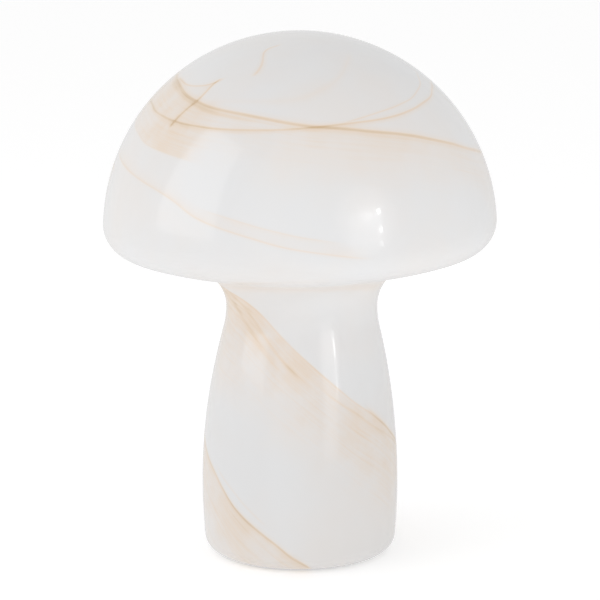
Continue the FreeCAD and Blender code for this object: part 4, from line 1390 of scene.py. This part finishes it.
@dataclass
class Bulb(Assembly):
    """The lamp bulb: threaded cap, housing, opal dome and light sources, in millimetres."""

    cap_bore: float = 11.65
    cap_collar: float = 12.15
    cap_bevel: float = 1.2
    cap_edge: float = 0.25
    cap_still: float = 12.0
    housing_wall: float = 1.6
    housing_neck: float = 11.55
    housing_gap: float = 0.3
    housing_edge: float = 0.6
    shoulder_radius: float = 13.6
    waist_radius: float = 19.1
    ledge: float = 1.6
    ledge_drop: float = 1.7
    dome_radius: float = 30.0
    dome_wall: float = 1.4
    dome_steps: int = 40
    chip_half: float = 1.5
    chip_edge: float = 0.1
    chip_window: float = 1.05
    chip_window_slope: float = 0.15
    chip_window_depth: float = 0.2
    chip_circle: float = 14.0
    chip_count: int = 8

    def screw_cap(self) -> None:
        """Roll the threaded cap."""
        reach, low, high = self.span("bulb_screw_cap")
        side = [(self.cap_bore, low), (self.cap_collar, low), (reach, low + self.cap_bevel), (reach, high),
                (self.cap_bore, high)]
        rows = divided(softened(side, self.cap_edge, 2), low + 0.8, high, THREAD_ROW)
        roll = radial(BULB_THREAD.push, self.cap_still)
        self.fit(lathe("rolled_cap", rows, 96, roll, 60.0), "bulb_screw_cap", CAP_METAL)

    def housing(self) -> None:
        """Mould the cone between cap and dome."""
        reach, low, high = self.span("bulb_housing")
        joint = self.span("bulb_screw_cap")[2] + self.housing_gap
        middle, ledge = (joint + high) / 2, high - self.ledge_drop
        wall, neck, waist = self.housing_wall, self.housing_neck, self.waist_radius
        mouth = reach - wall
        side = [
            (neck - wall, low), (neck, low), (neck, joint), (self.shoulder_radius, joint), (waist, middle),
            (reach, high), (mouth, high), (mouth, ledge), (mouth - self.ledge, ledge),
            (waist - self.ledge - wall, middle), (neck - wall, joint + wall),
        ]
        cone = softened(side, self.housing_edge, 4)
        self.fit(lathe("bulb_cone", cone, 128, crisp=60.0), "bulb_housing", HOUSING)

    def dome(self) -> None:
        """Blow the opal dome."""
        _, low, high = self.span("bulb_dome")
        seat = self.span("bulb_housing")[0]
        middle = high - self.dome_radius

        def half(skin: float) -> list[Point]:
            """Draw one face from the top down to the seat.

            Args:
                skin: How far inside the outer face it lies.

            Returns:
                Its outline.
            """
            radius, rim = self.dome_radius - skin, seat - skin
            last = math.acos(radius / math.hypot(rim, middle - low)) - math.atan2(middle - low, rim)
            points = [(0.0, middle + radius)]
            for number in range(1, self.dome_steps + 1):
                angle = TURN / 4 + (last - TURN / 4) * number / self.dome_steps
                points.append((radius * math.cos(angle), middle + radius * math.sin(angle)))
            return points + [(rim, low)]

        shell = half(0.0) + half(self.dome_wall)[::-1]
        self.fit(lathe("opal_dome", shell, 128, crisp=60.0), "bulb_dome", DOME)

    def chips(self) -> None:
        """Set the light sources, square with a round window, in a ring."""
        _, low, high = self.span("led_chips")
        floor, window, half = high - self.chip_window_depth, self.chip_window, self.chip_half
        side = [(0.0, floor), (window - self.chip_window_slope, floor), (window, high),
                (half - self.chip_edge, high), (half, high - self.chip_edge), (half, low), (0.0, low)]

        def push(angle: float, radius: float, _: float) -> float:
            """Return how far a corner lies outside the round blank."""
            return radius / max(abs(math.cos(angle)), abs(math.sin(angle))) - radius

        chip = lathe("chip", side, 32, radial(push, (window + half) / 2), 40.0)
        copies = self.ring.lay(chip, "light_chips", self.chip_count, self.chip_circle, 0.0, PHOSPHOR)
        self.fit(copies, "led_chips", PHOSPHOR)

    def build(self) -> None:
        """Build all its pieces."""
        self.screw_cap()
        self.housing()
        self.dome()
        self.chips()


# ---------------------------------------------------------------- studio


def aimed(name: str, data: Any, place: Sequence[float], target: Sequence[float]) -> Any:
    """Put a light or a camera in the scene.

    Args:
        name: The new object's name.
        data: The light or the camera.
        place: Where it stands, in metres.
        target: What it faces.

    Returns:
        The object.
    """
    made = bpy.data.objects.new(name, data)
    made.location = place
    made.rotation_euler = (Vector(target) - made.location).to_track_quat("-Z", "Y").to_euler()
    bpy.context.scene.collection.objects.link(made)
    return made


@dataclass
class Studio:
    """The plain floor, the soft lights and the camera, in metres and watts."""

    distance: float = 1.5
    elevation: float = 12.0
    focal_pixels: float = 2671.0
    frame_pixels: float = 600.0
    sensor: float = 36.0
    aim_level: float = 0.144
    floor_half: float = 12.0
    floor_glow: float = 0.3
    sky: float = 0.745
    sky_slope: tuple[float, float, float] = (-0.11, 0.04, 0.0)
    panel_layers: int = 6
    panel_power: float = 0.32
    panel_size: Point = (0.58, 0.6)
    lamp_size: Point = (0.035, 0.05)
    lamps: tuple[Point, ...] = ((0.443, 0.05), (0.292, 0.03), (0.178, 0.012))

    def camera(self) -> None:
        """Set up the camera that the photograph was taken with."""
        data = bpy.data.cameras.new("camera")
        data.sensor_width = self.sensor
        data.lens = self.sensor * self.focal_pixels / self.frame_pixels
        lift = math.radians(self.elevation)
        aim = Vector((0.0, 0.0, self.aim_level))
        place = aim + Vector((0.0, -math.cos(lift), math.sin(lift))) * self.distance
        bpy.context.scene.camera = aimed("camera", data, place, aim)

    def floor(self) -> None:
        """Lay the pale floor."""
        half = self.floor_half
        corners = [(-half, -half, 0.0), (half, -half, 0.0), (half, half, 0.0), (-half, half, 0.0)]
        made = linked("floor", corners, [(0, 1, 2, 3)])
        recipe = Recipe("floor_paint")
        recipe.set(
            Base_Color=grey(0.9),
            Roughness=0.9,
            Specular_IOR_Level=0.2,
            Emission_Color=grey(1.0),
            Emission_Strength=self.floor_glow,
        )
        made.data.materials.append(recipe.material)
        made.visible_glossy = False

    def world(self) -> None:
        """Surround the lamp with a pale sky that is a little brighter on the window's side."""
        world = bpy.data.worlds.new("studio")
        world.use_nodes = True
        tree = NodeTree(world.node_tree)
        way = tree.node("ShaderNodeTexCoord", {}, {}, "Generated")
        feeds = {0: way, 1: self.sky_slope}
        slope = tree.node("ShaderNodeVectorMath", {"operation": "DOT_PRODUCT"}, feeds, "Value")
        glow = tree.node("ShaderNodeBackground", {}, {"Color": grey(1.0), "Strength": slope + self.sky})
        tree.feed(tree.nodes.new("ShaderNodeOutputWorld").inputs["Surface"], glow)
        bpy.context.scene.world = world

    def light(
        self, name: str, power: float, size: Point, place: Point, height: float, shape: str = "RECTANGLE",
        target: Optional[float] = None,
    ) -> Any:
        """Hang one soft light.

        Args:
            name: The light's name.
            power: Its power.
            size: Its width and height.
            place: Its angle from the front in degrees, and its distance from the axis.
            height: The height of its middle.
            shape: Its outline.
            target: The height that it faces on the axis, if not its own.

        Returns:
            The light.
        """
        data = bpy.data.lights.new(name, "AREA")
        data.shape = shape
        data.size, data.size_y = size
        data.energy = power
        angle, away = math.radians(place[0]), place[1]
        stand = (math.sin(angle) * away, -math.cos(angle) * away, height)
        return aimed(name, data, stand, (0.0, 0.0, height if target is None else target))

    def build(self) -> None:
        """Set up the whole studio."""
        bpy.context.scene.view_settings.view_transform = "Standard"
        self.camera()
        self.floor()
        self.world()
        self.light("window_left", 2.6, (0.85, 1.5), (-68, 1.2), 0.95)
        for number in range(1, self.panel_layers + 1):
            share = number / self.panel_layers
            size = (self.panel_size[0] * share, self.panel_size[1] * share)
            self.light(f"panel_right_{number}", self.panel_power * share, size, (38, 0.9), 0.42, "ELLIPSE")
        self.light("strip_right", 0.05, (0.05, 0.34), (44.5, 0.9), 0.29)
        self.light("panel_low", 0.2, (0.26, 0.5), (35, 0.9), 0.2)
        for number, (height, power) in enumerate(self.lamps):
            self.light(f"lamp_right_{number}", power, self.lamp_size, (45, 0.9), height, "ELLIPSE")
        self.light("top", 1.5, (1.6, 1.6), (0, 0.3), 1.8, target=0.1).visible_glossy = False
        log.info("studio: camera %.0f mm away, %.0f degrees up", self.distance / MM, self.elevation)


def main() -> None:
    """Build the lamp piece by piece, in the order that it is put together."""
    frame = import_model()
    Studio().build()
    for name, finish in DRESSED.items():
        paint(frame["nodes"][name].data, finish)
        log.info("fitting: %s in %s", name, finish.name)
    ring = RingOfCopies()
    for kind, body in ((LampBase, "base"), (LampHolder, "base"), (Bulb, "bulb"), (GlassBody, "glass")):
        kind(body, ring).build()


if __name__ == "__main__":
    main()
